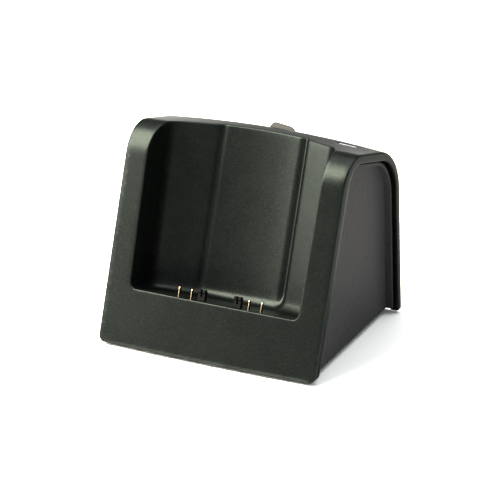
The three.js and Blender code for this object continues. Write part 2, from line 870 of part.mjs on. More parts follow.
function socketRearY() {
  const z = boardTop + jackHeight / 2 - shellLift;
  return baseDepth - Math.tan(rearLean) * z - socketSetback;
}

function usbSocket() {
  const rear = socketRearY();
  const w = usbHalfWidth;
  const h = usbHeight;
  const shape = (k) => [
    [-w + k, boardTop + h * 0.42], [-w + 0.9 + k * 0.6, boardTop + k], [w - 0.9 - k * 0.6, boardTop + k],
    [w - k, boardTop + h * 0.42], [w - k, boardTop + h - k], [-w + k, boardTop + h - k],
  ].map(([x, z]) => [x + usbCentreX, z]);
  const shell = cut(
    plateAlongY(shape(0), rear - socketDepth, rear),
    plateAlongY(shape(0.4), rear - socketDepth + 1, rear + 1));
  const tongue = block(
    usbCentreX - w + 1.4, usbCentreX + w - 1.4, rear - socketDepth + 0.5, rear - 1,
    boardTop + h * 0.52, boardTop + h * 0.72);
  return join(shell, tongue);
}

function dcJack() {
  const rear = socketRearY();
  const z = boardTop + jackHeight / 2;
  const body = block(
    jackCentreX - jackHalfWidth, jackCentreX + jackHalfWidth,
    rear - socketDepth - 2, rear, boardTop, boardTop + jackHeight);
  const bore = crossPin(jackCentreX, z, rear - socketDepth, rear + 1, jackBore, 24);
  const centrePin = crossPin(jackCentreX, z, rear - socketDepth - 0.5, rear - 0.8, 0.55, 12);
  return join(cut(body, bore), centrePin);
}

function chargeChip() {
  const low = boardTop;
  const body = block(
    chipCentreX - chipHalf, chipCentreX + chipHalf, chipCentreY - chipHalf, chipCentreY + chipHalf,
    low + 0.1 * chipHeight, low + chipHeight);
  const legs = [-2.5, -1.5, -0.5, 0.5, 1.5, 2.5].map((step) => {
    const y = chipCentreY + step * chipLegPitch;
    return block(
      chipCentreX - chipLegReach, chipCentreX + chipLegReach,
      y - chipLegHalfWidth, y + chipLegHalfWidth, low, low + 0.37 * chipHeight);
  });
  return join(body, ...legs);
}

const capacitorSpots = [[3, capacitorY], [10, capacitorY]];

function filterCapacitor(x, y) {
  const half = capacitorRadius + 0.25;
  return join(
    block(x - half, x + half, y - half, y + half, boardTop, boardTop + 0.7),
    pin(x, y, boardTop + 0.6, boardTop + capacitorHeight, capacitorRadius, 24));
}

function powerInductor() {
  const x = inductorCentreX;
  const y = inductorCentreY;
  const h = inductorHalf;
  return join(
    block(x - h, x + h, y - h, y + h, boardTop, boardTop + inductorHeight),
    pin(x, y, boardTop + inductorHeight - 0.1, boardTop + inductorHeight + 0.6, h - 0.6, 24));
}

function statusLed() {
  const x = pipeStemX;
  const y = windowCentreY;
  return join(
    block(x - 1.6, x + 1.6, y - 0.9, y + 0.9, boardTop, boardTop + 0.6),
    block(x - 0.9, x + 0.9, y - 0.75, y + 0.75, boardTop + 0.5, boardTop + 1.3));
}

// Light pipe: a clear stem from the lamp up to the window in the top face

function lightPipe() {
  const low = boardTop + 1.6;
  const neck = pipeNeck;
  const high = neck + pipeShoulder;
  const h = windowLength / 2;
  const s = pipeStemWidth / 2;
  const outline = [
    [pipeStemX - s, low], [pipeStemX + s, low], [pipeStemX + s, neck],
    [windowCentreX + h - 0.9, high], [windowCentreX + h, high + 0.7], [windowCentreX + h, aboveTop],
    [windowCentreX - h, aboveTop], [windowCentreX - h, high], [pipeStemX - s, neck],
  ];
  const y0 = windowCentreY - windowWidth / 2;
  return plateAlongY(outline, y0, y0 + windowWidth).intersect(outerSaddle());
}

// Contact block under the bay floor, with two forked locating hooks

function contactPositions() {
  return [-contactOuterX, -contactInnerX, contactInnerX, contactOuterX];
}

function contactBlock() {
  const top = lipHeight - bayWall - seatGap;
  let body = block(-blockHalfWidth, blockHalfWidth, blockFront, blockRear, top - blockDrop, top);
  contactPositions().forEach((x) => {
    const half = contactThickness / 2 + slideGap;
    const p0 = contactFront - contactShoulder - slideGap;
    const p1 = contactRear + contactShoulder + slideGap;
    body = body.subtract(block(x - half, x + half, p0, p1, top - blockDrop + 0.7, top + 1));
  });
  [-1, 1].forEach((side) => {
    const x = side * pegCentreX;
    body = body.add(hookPeg(x, top));
  });
  return place(body, bayFrame);
}

function hookPeg(x, top) {
  const high = lipHeight + pegRise;
  const outline = [
    [pegFront, top - 0.2], [pegRear, top - 0.2], [pegRear, high - 0.9], [pegRear - 0.5, high],
    [pegFront - pegHook, high], [pegFront - pegHook, high - 0.9], [pegFront, high - 1.3],
  ];
  const body = plateAlongX(outline, x - pegHalfWidth, x + pegHalfWidth);
  const h = pegSlotHalfWidth;
  return body.subtract(block(x - h, x + h, pegFront - 1, pegRear + 1, lipHeight + 0.5, high + 1));
}

function deviceContact(x) {
  const low = lipHeight - bayWall - seatGap - blockDrop + 0.7 + slideGap + contactTravel;
  const shoulder = lipHeight - bayWall - slideGap;
  const high = lipHeight + contactRise;
  const f = contactFront;
  const r = contactRear;
  const outline = [
    [f - contactShoulder, low], [r + contactShoulder, low], [r + contactShoulder, shoulder],
    [r, shoulder], [r, high - 1.5], [r - 0.2, high - 0.8], [r - 0.6, high - 0.25], [f + 0.9, high],
    [f + 0.3, high - 0.2], [f, high - 0.7], [f, shoulder], [f - contactShoulder, shoulder],
  ];
  return place(plateAlongX(outline, x - contactThickness / 2, x + contactThickness / 2), bayFrame);
}

// Flat cable from the contact block back to the main board

function contactFlex() {
  const rest = boardTop + flexThickness / 2;
  const corner = new THREE.Vector3(0, blockRear, lipHeight - bayWall - blockDrop).applyMatrix4(bayFrame);
  const run = plateTop + ballastThickness + 1.5;
  const path = [
    [corner.y + 0.9, corner.z + 1.9], [corner.y + 0.6, corner.z + 0.9], [corner.y + 0.9, corner.z - 0.3],
    [corner.y + 2.6, run], [boardFrontY - 4.6, run - 0.1], [boardFrontY - 2.6, run + 0.4],
    [boardFrontY - 1.2, rest + 0.25], [boardFrontY + 0.5, rest + 0.01], [boardFrontY + 3.2, rest + 0.01],
  ];
  return plateAlongX(ribbonOutline(path, flexThickness / 2), -flexHalfWidth, flexHalfWidth);
}

// Both sides of a thin ribbon that follows a path.
function ribbonOutline(path, half) {
  const points = path.map(([y, z]) => new THREE.Vector2(y, z));
  const side = (sign) => points.map((p, i) => {
    const a = points[Math.max(0, i - 1)];
    const b = points[Math.min(points.length - 1, i + 1)];
    const d = new THREE.Vector2().subVectors(b, a).normalize();
    return [p.x - sign * d.y * half, p.y + sign * d.x * half];
  });
  return [...side(1), ...side(-1).reverse()];
}

// Spare battery tray, its contacts and the latch

function batteryTray() {
  const w = pocketHalfWidth;
  const t = trayWall;
  const shellBody = block(-w - t, w + t, -pocketDepth - t, 1, pocketBottom - t, pocketTop + t);
  const pocket = block(-w, w, -pocketDepth, 3, pocketBottom, pocketTop);
  const flangeFront = -rearWall - 0.15;
  const flange = block(
    -w - t - trayFlange, w + t + trayFlange, flangeFront - flangeThickness, flangeFront,
    pocketBottom - t + 0.5, flangeTop);
  const scoop = crossPin(0, pocketBottom + scoopRise, -pocketDepth - t - 1, 2, scoopRadius, 32);
  const dish = scoop.intersect(block(-w, w, -pocketDepth - scoopDish, 2, pocketBottom, pocketTop));
  const slots = batterySlots(t);
  const tray = cut(join(shellBody, flange), pocket, dish, ...slots);
  const half = latchHalfWidth + slideGap;
  const hook = block(
    -half, half, latchLipFrontY - slideGap - 0.2, baseDepth + 3, latchLipLow, latchArmLow + 1);
  return place(tray, rearFrame).intersect(outerSaddle()).subtract(hook);
}

function batteryContactPositions() {
  return [-batteryContactPitch, 0, batteryContactPitch];
}

function batterySlots(t) {
  const half = batteryContactThickness / 2 + slideGap;
  return batteryContactPositions().map((x) => block(
    x - half, x + half, batteryContactFront - slideGap, batteryContactRear + slideGap,
    pocketBottom - t - 1, pocketBottom + 1));
}

function batteryContactBlock() {
  const top = pocketBottom - trayWall - seatGap;
  let body = block(
    -batteryBlockHalfWidth, batteryBlockHalfWidth, -pocketDepth - 0.6, -rearWall - 0.5,
    top - batteryBlockDrop, top);
  const half = batteryContactThickness / 2 + slideGap;
  batteryContactPositions().forEach((x) => {
    body = body.subtract(block(
      x - half, x + half, batteryContactFront - contactShoulder - slideGap,
      batteryContactRear + contactShoulder + slideGap, top - batteryBlockDrop + 0.7, top + 1));
  });
  return place(body, rearFrame);
}

function batteryContact(x) {
  const top = pocketBottom - trayWall - seatGap;
  const low = top - batteryBlockDrop + 0.7 + slideGap + batteryContactTravel;
  const shoulder = top - slideGap;
  const high = pocketBottom + batteryContactRise;
  const f = batteryContactFront;
  const r = batteryContactRear;
  const outline = [
    [f - contactShoulder, low], [r + contactShoulder, low], [r + contactShoulder, shoulder],
    [r, shoulder], [r, high - 0.6], [r - 0.5, high - 0.1], [(f + r) / 2, high],
    [f + 0.5, high - 0.1], [f, high - 0.6], [f, shoulder], [f - contactShoulder, shoulder],
  ];
  const t = batteryContactThickness / 2;
  return place(plateAlongX(outline, x - t, x + t), rearFrame);
}

function batteryLatch() {
  const w = latchHalfWidth;
  const c = latchCorner;
  const top = latchTabTop;
  const corner = (cx, from) => Array.from({ length: 5 }, (_, i) => {
    const a = from + (Math.PI / 2) * (i / 4);
    return [cx + c * Math.cos(a), top - c + c * Math.sin(a)];
  });
  const low = latchArmLow + latchArmHeight / 2;
  const outline = [[-w, low], [w, low], ...corner(w - c, 0), ...corner(-w + c, Math.PI / 2)];
  const bevel = plateAlongX([
    [latchFrontY - 1, top - tabBevelRise * (1 + 1 / tabBevelRun)],
    [latchFrontY + tabBevelRun + 1, top + tabBevelRise / tabBevelRun],
    [latchFrontY - 1, top + 2],
  ], -w - 1, w + 1);
  const level = plateAlongY(outline, latchFrontY, latchFrontY + latchThickness).subtract(bevel);
  const slant = new THREE.Matrix4().set(1, 0, 0, 0, 0, 1, 0, 0, -tabSlant, 0, 1, 0, 0, 0, 0, 1);
  const plate = place(level, slant);
  const lipRear = latchLipFrontY + latchLipThickness;
  const arm = block(-w, w, latchFrontY, lipRear, latchArmLow, latchArmLow + latchArmHeight);
  const lip = plateAlongX([
    [latchLipFrontY, latchArmLow + 0.2], [latchLipFrontY, latchLipLow],
    [lipRear - 0.9, latchLipLow], [lipRear, latchLipLow + 1.4], [lipRear, latchArmLow + 0.2],
  ], -w, w);
  const seat = block(
    -springCoilRadius - 1, springCoilRadius + 1, springCentreY - springPostRadius, latchFrontY + 0.2,
    latchArmLow, latchArmLow + springSeatHeight);
  return join(plate, arm, lip, seat);
}

// Helix that climbs less over part of a turn at each end, swept with a six-sided wire.
class CoilCurve extends THREE.Curve {
  getPoint(t, target = new THREE.Vector3()) {
    const flat = springEndTurns;
    const step = springEndClimb;
    const total = springTurns + 2 * flat;
    const turn = t * total;
    const low = springLow() + springWire + springEndGap;
    const high = springTop() - springWire - springEndGap;
    const free = Math.min(1, Math.max(0, (turn - flat) / springTurns));
    const climb = step + (high - low - 2 * step) * free;
    let z = low + climb;
    if (turn < flat) z = low + step * (turn / flat);
    if (turn > flat + springTurns) z = high - step * ((total - turn) / flat);
    const a = 2 * Math.PI * turn;
    return target.set(springCoilRadius * Math.cos(a), springCentreY + springCoilRadius * Math.sin(a), z);
  }
}

function latchSpring() {
  const curve = new CoilCurve();
  const turns = springTurns + 2 * springEndTurns;
  const steps = Math.round(turns * 12);
  const rings = [];
  for (let i = 0; i <= steps; i += 1) {
    const t = i / steps;
    const p = curve.getPoint(t);
    const radial = new THREE.Vector3(p.x, p.y - springCentreY, 0).normalize();
    const ring = [];
    for (let k = 0; k < 6; k += 1) {
      const a = (2 * Math.PI * k) / 6;
      ring.push(p.clone()
        .addScaledVector(radial, springWire * Math.cos(a))
        .add(new THREE.Vector3(0, 0, springWire * Math.sin(a))));
    }
    rings.push(ring);
  }
  const freePitch = (springLength - 2 * (springWire + springEndGap + springEndClimb)) / springTurns;
  const leastPitch = Math.min(freePitch, springEndClimb / springEndTurns);
  console.log(`latch spring: least gap between turns ${(leastPitch - 2 * springWire).toFixed(2)} mm`);
  return coilGeometry(rings);
}

function coilGeometry(rings) {
  const n = rings[0].length;
  const position = [];
  rings.forEach((ring) => ring.forEach((p) => position.push(p.x, p.y, p.z)));
  const index = [];
  for (let r = 0; r + 1 < rings.length; r += 1) {
    for (let i = 0; i < n; i += 1) {
      const j = (i + 1) % n;
      index.push(r * n + i, r * n + j, (r + 1) * n + j, r * n + i, (r + 1) * n + j, (r + 1) * n + i);
    }
  }
  const last = (rings.length - 1) * n;
  for (let i = 1; i + 1 < n; i += 1) {
    index.push(0, i + 1, i);
    index.push(last, last + i, last + i + 1);
  }
  const geometry = new THREE.BufferGeometry();
  geometry.setAttribute('position', new THREE.Float32BufferAttribute(position, 3));
  geometry.setIndex(index);
  return ensureOutward(geometry);
}

// Assembly

const cradle = new THREE.Group();
cradle.position.y = (frontBow - baseDepth) / 2;
const group = new THREE.Group();
group.add(cradle);

const finish = (color, roughness, metalness = 0) => ({ color, roughness, metalness });
const painted = finish(0x565d59, 0.42, 0.35);
const glossyDark = finish(0x3c3d41, 0.16);
const blackPlastic = finish(0x17181a, 0.5);
const rubber = finish(0x1b1b1b, 0.9);
const steel = finish(0x9a9c9e, 0.38, 0.9);
const gold = finish(0xc79a4b, 0.28, 1.0);
const boardGreen = finish(0x1f5b36, 0.55);
const clear = finish(0xe9edf0, 0.15);

function addPiece(name, shape, look) {
  const geometry = shape.isBufferGeometry ? shape : geometryOf(shape);
  const plain = geometry.toNonIndexed();
  plain.computeVertexNormals();
  const mesh = new THREE.Mesh(plain, new THREE.MeshStandardMaterial(look));
  mesh.name = name;
  cradle.add(mesh);
  return mesh;
}

addPiece('outer_shell', outerShell(), painted);
addPiece('side_panel_left', sidePanel(-1), glossyDark);
addPiece('side_panel_right', sidePanel(1), glossyDark);
addPiece('base_plate', basePlate(), blackPlastic);
footSpots.forEach(([x, y], i) => addPiece(`rubber_foot_${i + 1}`, rubberFoot(x, y), rubber));
baseScrewSpots.forEach(([x, y], i) => addPiece(`base_screw_${i + 1}`, baseScrew(x, y), steel));
addPiece('ballast_plate', ballastPlate(), steel);
addPiece('main_board', mainBoard(), boardGreen);
boardPostSpots.forEach(([x, y], i) => addPiece(`board_screw_${i + 1}`, boardScrew(x, y), steel));
addPiece('charge_chip', chargeChip(), blackPlastic);
capacitorSpots.forEach(([x, y], i) => addPiece(`filter_capacitor_${i + 1}`, filterCapacitor(x, y), steel));
addPiece('power_inductor', powerInductor(), blackPlastic);
addPiece('status_led', statusLed(), clear);
addPiece('light_pipe', lightPipe(), clear);
addPiece('usb_socket', usbSocket(), steel);
addPiece('dc_jack', dcJack(), blackPlastic);
addPiece('contact_block', contactBlock(), blackPlastic);
addPiece('contact_flex', contactFlex(), finish(0xb9772c, 0.5));
contactPositions().forEach((x, i) => addPiece(`device_contact_${i + 1}`, deviceContact(x), gold));
addPiece('battery_tray', batteryTray(), blackPlastic);
addPiece('battery_contact_block', batteryContactBlock(), blackPlastic);
batteryContactPositions().forEach((x, i) => addPiece(`battery_contact_${i + 1}`, batteryContact(x), gold));
addPiece('battery_latch', batteryLatch(), painted);
addPiece('latch_spring', latchSpring(), steel);

let triangles = 0;
group.traverse((node) => {
  if (node.isMesh) triangles += node.geometry.attributes.position.count / 3;
});
console.log(`triangles ${triangles}`);

export default group;
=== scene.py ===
import math

import bmesh
import bpy
import numpy as np
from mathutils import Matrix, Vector, geometry


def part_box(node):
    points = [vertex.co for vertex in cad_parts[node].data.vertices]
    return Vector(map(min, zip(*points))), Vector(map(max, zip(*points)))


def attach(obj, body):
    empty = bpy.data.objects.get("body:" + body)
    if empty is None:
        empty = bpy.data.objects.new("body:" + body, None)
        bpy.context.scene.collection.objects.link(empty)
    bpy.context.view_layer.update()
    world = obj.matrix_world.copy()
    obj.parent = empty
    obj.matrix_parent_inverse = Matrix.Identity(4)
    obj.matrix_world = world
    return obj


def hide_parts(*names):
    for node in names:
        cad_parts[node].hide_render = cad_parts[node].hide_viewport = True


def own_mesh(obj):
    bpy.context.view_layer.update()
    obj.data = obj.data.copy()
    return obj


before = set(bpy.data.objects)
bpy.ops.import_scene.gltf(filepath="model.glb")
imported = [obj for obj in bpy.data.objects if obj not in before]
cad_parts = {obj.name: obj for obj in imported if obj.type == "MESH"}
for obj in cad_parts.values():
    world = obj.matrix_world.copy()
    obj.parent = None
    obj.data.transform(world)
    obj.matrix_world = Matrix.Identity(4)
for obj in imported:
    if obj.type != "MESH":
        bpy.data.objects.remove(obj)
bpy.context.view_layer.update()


# Camera
# A long lens on a tripod, to the right of the cradle and above it, looking slightly down. Its frame
# is shifted by a few pixels, because the photograph was cropped off centre.
MM = 0.001
camera_turn = math.radians(26.43)
camera_rise = math.radians(22.07)
camera_distance = 1136 * MM
camera_aim = Vector((0, -1.225, 36.0)) * MM
picture_size = 500
axis_column = 249.08
axis_row = 230.0
focal_pixels = 3410


def towards(turn, rise):
    """The way from the cradle out, at a turn from its front, plus to the right, and a rise."""
    level = math.cos(rise)
    return Vector((math.sin(turn) * level, -math.cos(turn) * level, math.sin(rise)))


lens = bpy.data.cameras.new("camera")
lens.sensor_width = 36
lens.lens = focal_pixels / picture_size * lens.sensor_width
lens.shift_x = (picture_size / 2 - axis_column) / picture_size
lens.shift_y = (axis_row - picture_size / 2) / picture_size
camera = bpy.data.objects.new("camera", lens)
toward_camera = towards(camera_turn, camera_rise)
camera.location = camera_aim + toward_camera * camera_distance
camera.rotation_euler = toward_camera.to_track_quat("Z", "Y").to_euler()
lens.clip_start = 0.05
lens.clip_end = 50
bpy.context.scene.collection.objects.link(camera)
bpy.context.scene.camera = camera


# Studio
# A pale paper floor without a seam. A large softbox hangs high on the left, a broad weak one
# overhead and a small one low on the left. They are strong, so that the floor shows white.
floor_reach = 6.0
floor_colour = (0.96, 0.96, 0.955, 1)
lamp_aim = Vector((0, 0, 0.035))
air_colour = (0.95, 1.0, 1.0, 1)
air_strength = 0.62


class Signal:
    """A socket of a shader tree: sums on it add Math nodes, and node() adds every node."""

    def __init__(self, tree, socket=None):
        self.tree = tree
        self.socket = socket

    def feed(self, entry, value):
        if isinstance(value, Signal):
            self.tree.links.new(value.socket, entry)
        else:
            entry.default_value = value

    def node(self, kind, settings=None, sockets=None, output=None):
        """Adds a node; its sockets go by name, or by number where names repeat."""
        made = self.tree.nodes.new("ShaderNode" + kind)
        for name, value in (settings or {}).items():
            setattr(made, name, value)
        for name, value in (sockets or {}).items():
            shown = [s for s in made.inputs if s.enabled and s.name == name]
            self.feed(shown[0] if shown else made.inputs[name], value)
        results = [s for s in made.outputs if s.enabled and output in (None, s.name)]
        return Signal(self.tree, results[0] if results else None)

    def maths(self, operation, *terms):
        return self.node("Math", {"operation": operation}, dict(enumerate(terms)))

    def __add__(self, other):
        return self.maths("ADD", self, other)

    def __radd__(self, other):
        return self.maths("ADD", other, self)

    def __sub__(self, other):
        return self.maths("SUBTRACT", self, other)

    def __rsub__(self, other):
        return self.maths("SUBTRACT", other, self)

    def __mul__(self, other):
        return self.maths("MULTIPLY", self, other)

    def __rmul__(self, other):
        return self.maths("MULTIPLY", other, self)

    def __abs__(self):
        return self.maths("ABSOLUTE", self)

    def noise(self, size, detail=2.0):
        """Soft random shade from 0 to 1, with lumps of that size in metres in the piece's space."""
        place = self.node("TexCoord", output="Object")
        return self.node("TexNoise", None, {
            "Vector": place, "Scale": 1 / size, "Detail": detail}, "Fac")

    def band(self, low, high):
        """Goes from 0 to 1 as this value goes from low to high."""
        return self.node("MapRange", {"clamp": True}, {
            "Value": self, "From Min": low, "From Max": high})

    def blend(self, first, second):
        """The first colour where this mask is 0 and the second where it is 1."""
        return self.node("Mix", {"data_type": "RGBA"}, {"Factor": self, "A": first, "B": second})

    def bump(self, depth, strength=1.0):
        """A normal raised by this height of 0 to 1, which is that deep in metres."""
        return self.node("Bump", None, {"Height": self, "Distance": depth, "Strength": strength})


def new_material(name):
    material = bpy.data.materials.new(name)
    material.use_nodes = True
    material.node_tree.nodes.clear()
    return material, Signal(material.node_tree)


def close_material(tree, sockets):
    surface = tree.node("BsdfPrincipled", None, sockets)
    tree.node("OutputMaterial", None, {"Surface": surface})


floor_mesh = bpy.data.meshes.new("studio_floor")
floor_mesh.from_pydata(
    [(x * floor_reach, y * floor_reach, 0) for x, y in ((-1, -1), (1, -1), (1, 1), (-1, 1))],
    [], [(0, 1, 2, 3)])
floor = bpy.data.objects.new("studio_floor", floor_mesh)
bpy.context.scene.collection.objects.link(floor)
floor_paper, tree = new_material("seamless_paper")
close_material(tree, {"Base Color": floor_colour, "Roughness": 0.9, "Specular IOR Level": 0.2})
floor_mesh.materials.append(floor_paper)


def softbox(name, turn, rise, distance, width, height, power, tint=(1, 1, 1)):
    """A soft rectangular lamp that faces the cradle; turn is from the front, plus to the right."""
    lamp = bpy.data.lights.new(name, "AREA")
    lamp.shape = "RECTANGLE"
    lamp.size = width
    lamp.size_y = height
    lamp.energy = power
    lamp.color = tint
    holder = bpy.data.objects.new(name, lamp)
    away = towards(math.radians(turn), math.radians(rise))
    holder.location = lamp_aim + away * distance
    holder.rotation_euler = away.to_track_quat("Z", "Y").to_euler()
    bpy.context.scene.collection.objects.link(holder)


softbox("key_softbox", turn=-62, rise=54, distance=0.60, width=0.50, height=0.42, power=19.5,
        tint=(1.0, 0.95, 0.80))
softbox("top_softbox", turn=170, rise=74, distance=1.10, width=1.40, height=1.10, power=17.0)
softbox("left_fill", turn=-57, rise=22, distance=0.55, width=0.32, height=0.30, power=7.4,
        tint=(1.0, 0.94, 0.86))

world = bpy.data.worlds.new("studio_air")
world.use_nodes = True
background = world.node_tree.nodes["Background"]
background.inputs["Color"].default_value = air_colour
background.inputs["Strength"].default_value = air_strength
bpy.context.scene.world = world
bpy.context.scene.view_settings.view_transform = "Standard"


# Outer shell
# One saddle-shaped moulding that runs up the front, over the top and down the rear, with the device
# bay sunk into it. Moulded in black plastic and sprayed a dark green-grey metallic on the outside.
shell_low, shell_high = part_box("outer_shell")
shell_width = (shell_high.x - shell_low.x) / MM
shell_lift = shell_low.z / MM
front_bow = 0.95
base_depth = (shell_high.y - shell_low.y) / MM - front_bow
shell_front = shell_low.y / MM + front_bow
corner_height = 70.6
front_lean = math.radians(19.3)
top_slope = math.radians(15.7)
rear_lean = math.radians(4.0)
front_bend_radius = 11.8
rear_bend_radius = 20.0
top_crown = 2.95
crown_growth = 1.25
crown_end = 14.0
edge_band = (3.3, 2.95, 2.3)
edge_band_spread = 1.4
edge_band_depth = 3.1
sheet_thickness = 1.1
outer_rounding = 0.55
inner_rounding = 0.3
front_corner_radius = 2.0
rear_corner_radius = 1.0

mouth_front = -4.0
lip_height = 19.43
bay_half_width = 31.0
bay_flare = 0.75
bay_flare_height = 46.0
bay_depth = 21.2
back_hollow = 0.8
step_half_width = 13.5
step_run = 3.4
step_rise = 1.7
step_lead = (0.2, 0.14)
left_groove = (0.12, 0.35)
right_groove = (0.55, 0.62)
strip_edge_x = 26.0
strip_rise = 3.9
side_wall_draft = 1.1
side_wall_depth = 8.5
corner_pull = (1.4 * side_wall_draft, 2.2)
floor_fillet = 3.2
leg_fillet_share = 0.6
climb_start, climb_length = 0.5, 0.8
plan_step = 0.1
wall_blur = 8
foot_blur = 22
heading_blur = 28
column_gap = 0.55
bay_rounding = 0.5
crisp_angle = math.radians(38)
weld_reach = 3e-6
least_area = 1e-4


class Skin:
    """Faces gathered patch by patch in millimetres and welded where the patches meet."""

    def __init__(self):
        self.points = []
        self.faces = []

    def add(self, points, faces):
        base = len(self.points)
        self.points.extend(tuple(map(float, p)) for p in points)
        self.faces.extend(tuple(base + i for i in face) for face in faces)

    def loft(self, rings, closed=False):
        """Quads between rings that all have the same number of points."""
        rings = np.asarray(rings, float)
        count = len(rings[0])
        faces = []
        for here in range(0, count * (len(rings) - 1), count):
            for i in range(count if closed else count - 1):
                j = (i + 1) % count
                faces.append((here + i, here + j, here + count + j, here + count + i))
        self.add(np.concatenate(rings), faces)

    def cover(self, outer, holes, spacing, place):
        """Triangles over a flat outline with holes, lifted onto a surface by place()."""
        loops = [np.asarray(loop, float) for loop in [outer, *holes]]
        rim = np.concatenate(loops)
        across = [
            np.linspace(low, high, max(2, round((high - low) / space)) + 1)
            for low, high, space in zip(loops[0].min(0), loops[0].max(0), spacing)]
        grid = np.stack(np.meshgrid(*across), -1).reshape(-1, 2)
        grid = grid[inside(grid, loops)]
        from_rim = np.array([((rim - p) ** 2).sum(1).min() for p in grid])
        grid = grid[from_rim > (0.55 * min(spacing)) ** 2]
        flat = [Vector(p) for p in np.concatenate([rim, grid])]
        edges = []
        for loop in loops:
            first = len(edges)
            edges += [(first + i, first + (i + 1) % len(loop)) for i in range(len(loop))]
        points, _, faces, *_ = geometry.delaunay_2d_cdt(flat, edges, [], 0, 1e-7)
        points = np.array([tuple(p) for p in points])
        corners = np.array([points[list(face)] for face in faces])
        a, b, c = np.moveaxis(corners, 1, 0)
        area = abs((b - a)[:, 0] * (c - a)[:, 1] - (b - a)[:, 1] * (c - a)[:, 0]) / 2
        good = inside(corners.mean(1), loops) & (area > least_area)
        self.add(place(*points.T), [face for face, keep in zip(faces, good) if keep])

    def mesh(self, name, crisp=crisp_angle):
        """The welded mesh in metres, smooth but for edges that turn more than the crisp angle."""
        mesh = bpy.data.meshes.new(name)
        mesh.from_pydata(
            [(x * MM, (y + shell_front) * MM, z * MM) for x, y, z in self.points], [], self.faces)
        work = bmesh.new()
        work.from_mesh(mesh)
        bmesh.ops.remove_doubles(work, verts=work.verts, dist=weld_reach)
        bmesh.ops.recalc_face_normals(work, faces=work.faces)
        middle = sum((v.co for v in work.verts), Vector()) / len(work.verts)
        outward = sum(
            (face.calc_center_median() - middle).dot(face.normal) * face.calc_area()
            for face in work.faces)
        if outward < 0:
            bmesh.ops.reverse_faces(work, faces=work.faces)
        for face in work.faces:
            face.smooth = True
        for edge in work.edges:
            edge.smooth = len(edge.link_faces) != 2 or edge.calc_face_angle() < crisp
        work.to_mesh(mesh)
        work.free()
        return mesh


def inside(points, loops):
    """Which points lie in the first loop and in none of the holes in it."""
    odd = np.zeros(len(points), bool)
    for loop in loops:
        for (ax, ay), (bx, by) in zip(loop, np.roll(loop, -1, 0)):
            if ay != by:
                level = (ay > points[:, 1]) != (by > points[:, 1])
                odd ^= level & (points[:, 0] < ax + (points[:, 1] - ay) * (bx - ax) / (by - ay))
    return odd


def show(mesh, name, body, slot, material, *nodes):
    """Puts a finished mesh in the scene in place of its CAD nodes."""
    piece = bpy.data.objects.new(name, mesh)
    bpy.context.scene.collection.objects.link(piece)
    mesh.materials.append(material)
    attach(piece, body)
    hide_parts(*nodes)
    return piece


def unit(angle):
    """A step of length 1 in the direction of an angle."""
    return np.array([math.cos(angle), math.sin(angle)])


def crossing(p, d, q, e):
    """Where two lines meet, each given by a point and a direction."""
    along = ((q - p)[0] * e[1] - (q - p)[1] * e[0]) / (d[0] * e[1] - d[1] * e[0])
    return p + d * along


def side_outline(inset, count=60, foot=0.0, spread=0.0):
    """Points (y, z) up the front, over the top and down the rear, moved inward by three amounts.

    A spread leans the front line further in towards the top."""
    front, top, rear = inset
    face_up = np.array([math.sin(front_lean), math.cos(front_lean)])
    lean = front_lean + math.atan(spread / (corner_height / face_up[1]))
    up = np.array([math.sin(lean), math.cos(lean)])
    back = np.array([math.cos(top_slope), -math.sin(top_slope)])
    down = np.array([math.sin(rear_lean), -math.cos(rear_lean)])
    inward = [np.array([d[1], -d[0]]) for d in (up, back, down)]
    front_point = np.array([face_up[1], -face_up[0]]) * front
    top_point = face_up * (corner_height / face_up[1]) + inward[1] * top
    rear_point = np.array([base_depth, 0.0]) + inward[2] * rear
    foot_line = (np.array([0.0, foot]), np.array([1.0, 0.0]))
    front_radius = front_bend_radius - (front + spread + top) / 2
    rear_radius = rear_bend_radius - (top + rear) / 2
    bends = []
    for line_a, a, line_b, b, radius in (
            (front_point, up, top_point, back, front_radius),
            (top_point, back, rear_point, down, rear_radius)):
        corner = crossing(line_a, a, line_b, b)
        turn = math.acos(a @ b)
        begin = corner - a * radius * math.tan(turn / 2)
        centre = begin + np.array([a[1], -a[0]]) * radius
        start = math.atan2(*(begin - centre)[::-1])
        bends.append([centre + radius * unit(start - turn * i / count) for i in range(count + 1)])
    corners = [
        crossing(front_point, up, *foot_line), bends[0][0], bends[0][-1], bends[1][0], bends[1][-1],
        crossing(rear_point, down, *foot_line)]
    rise, ridge, fall = (
        [a + (b - a) * i / count for i in range(count + 1)]
        for a, b in zip(corners[::2], corners[1::2]))
    return np.array([*rise, *bends[0][1:], *ridge[1:], *bends[1][1:], *fall[1:]])


def run_along(path):
    """How far along a path each of its points lies."""
    return np.concatenate([[0], np.cumsum(np.hypot(*np.diff(path, axis=0).T))])


outer_line = side_outline((0, 0, 0))
band_line = side_outline(edge_band, spread=edge_band_spread)
line_run = run_along(outer_line)
_, front_bend_start, front_bend_end, rear_bend_start, rear_bend_end, line_end = (
    line_run[::(len(outer_line) - 1) // 5])


def warp(x, y, z):
    """Bows the front in plan and crowns the top across the width."""
    lens_shape = np.clip(1 - (2 * x / shell_width) ** 2, 0, 1)
    forward = np.clip(1 - y / base_depth, 0, None)
    bend_y = corner_height * math.tan(front_lean)
    along = np.clip((y - bend_y) / (base_depth - crown_end - bend_y), 0, 1)
    height = np.clip(z / corner_height, 0, 1)
    crown = top_crown * along ** crown_growth * lens_shape * height ** 2
    return np.stack([x + 0 * y, y - front_bow * lens_shape * forward, z + crown + shell_lift], -1)


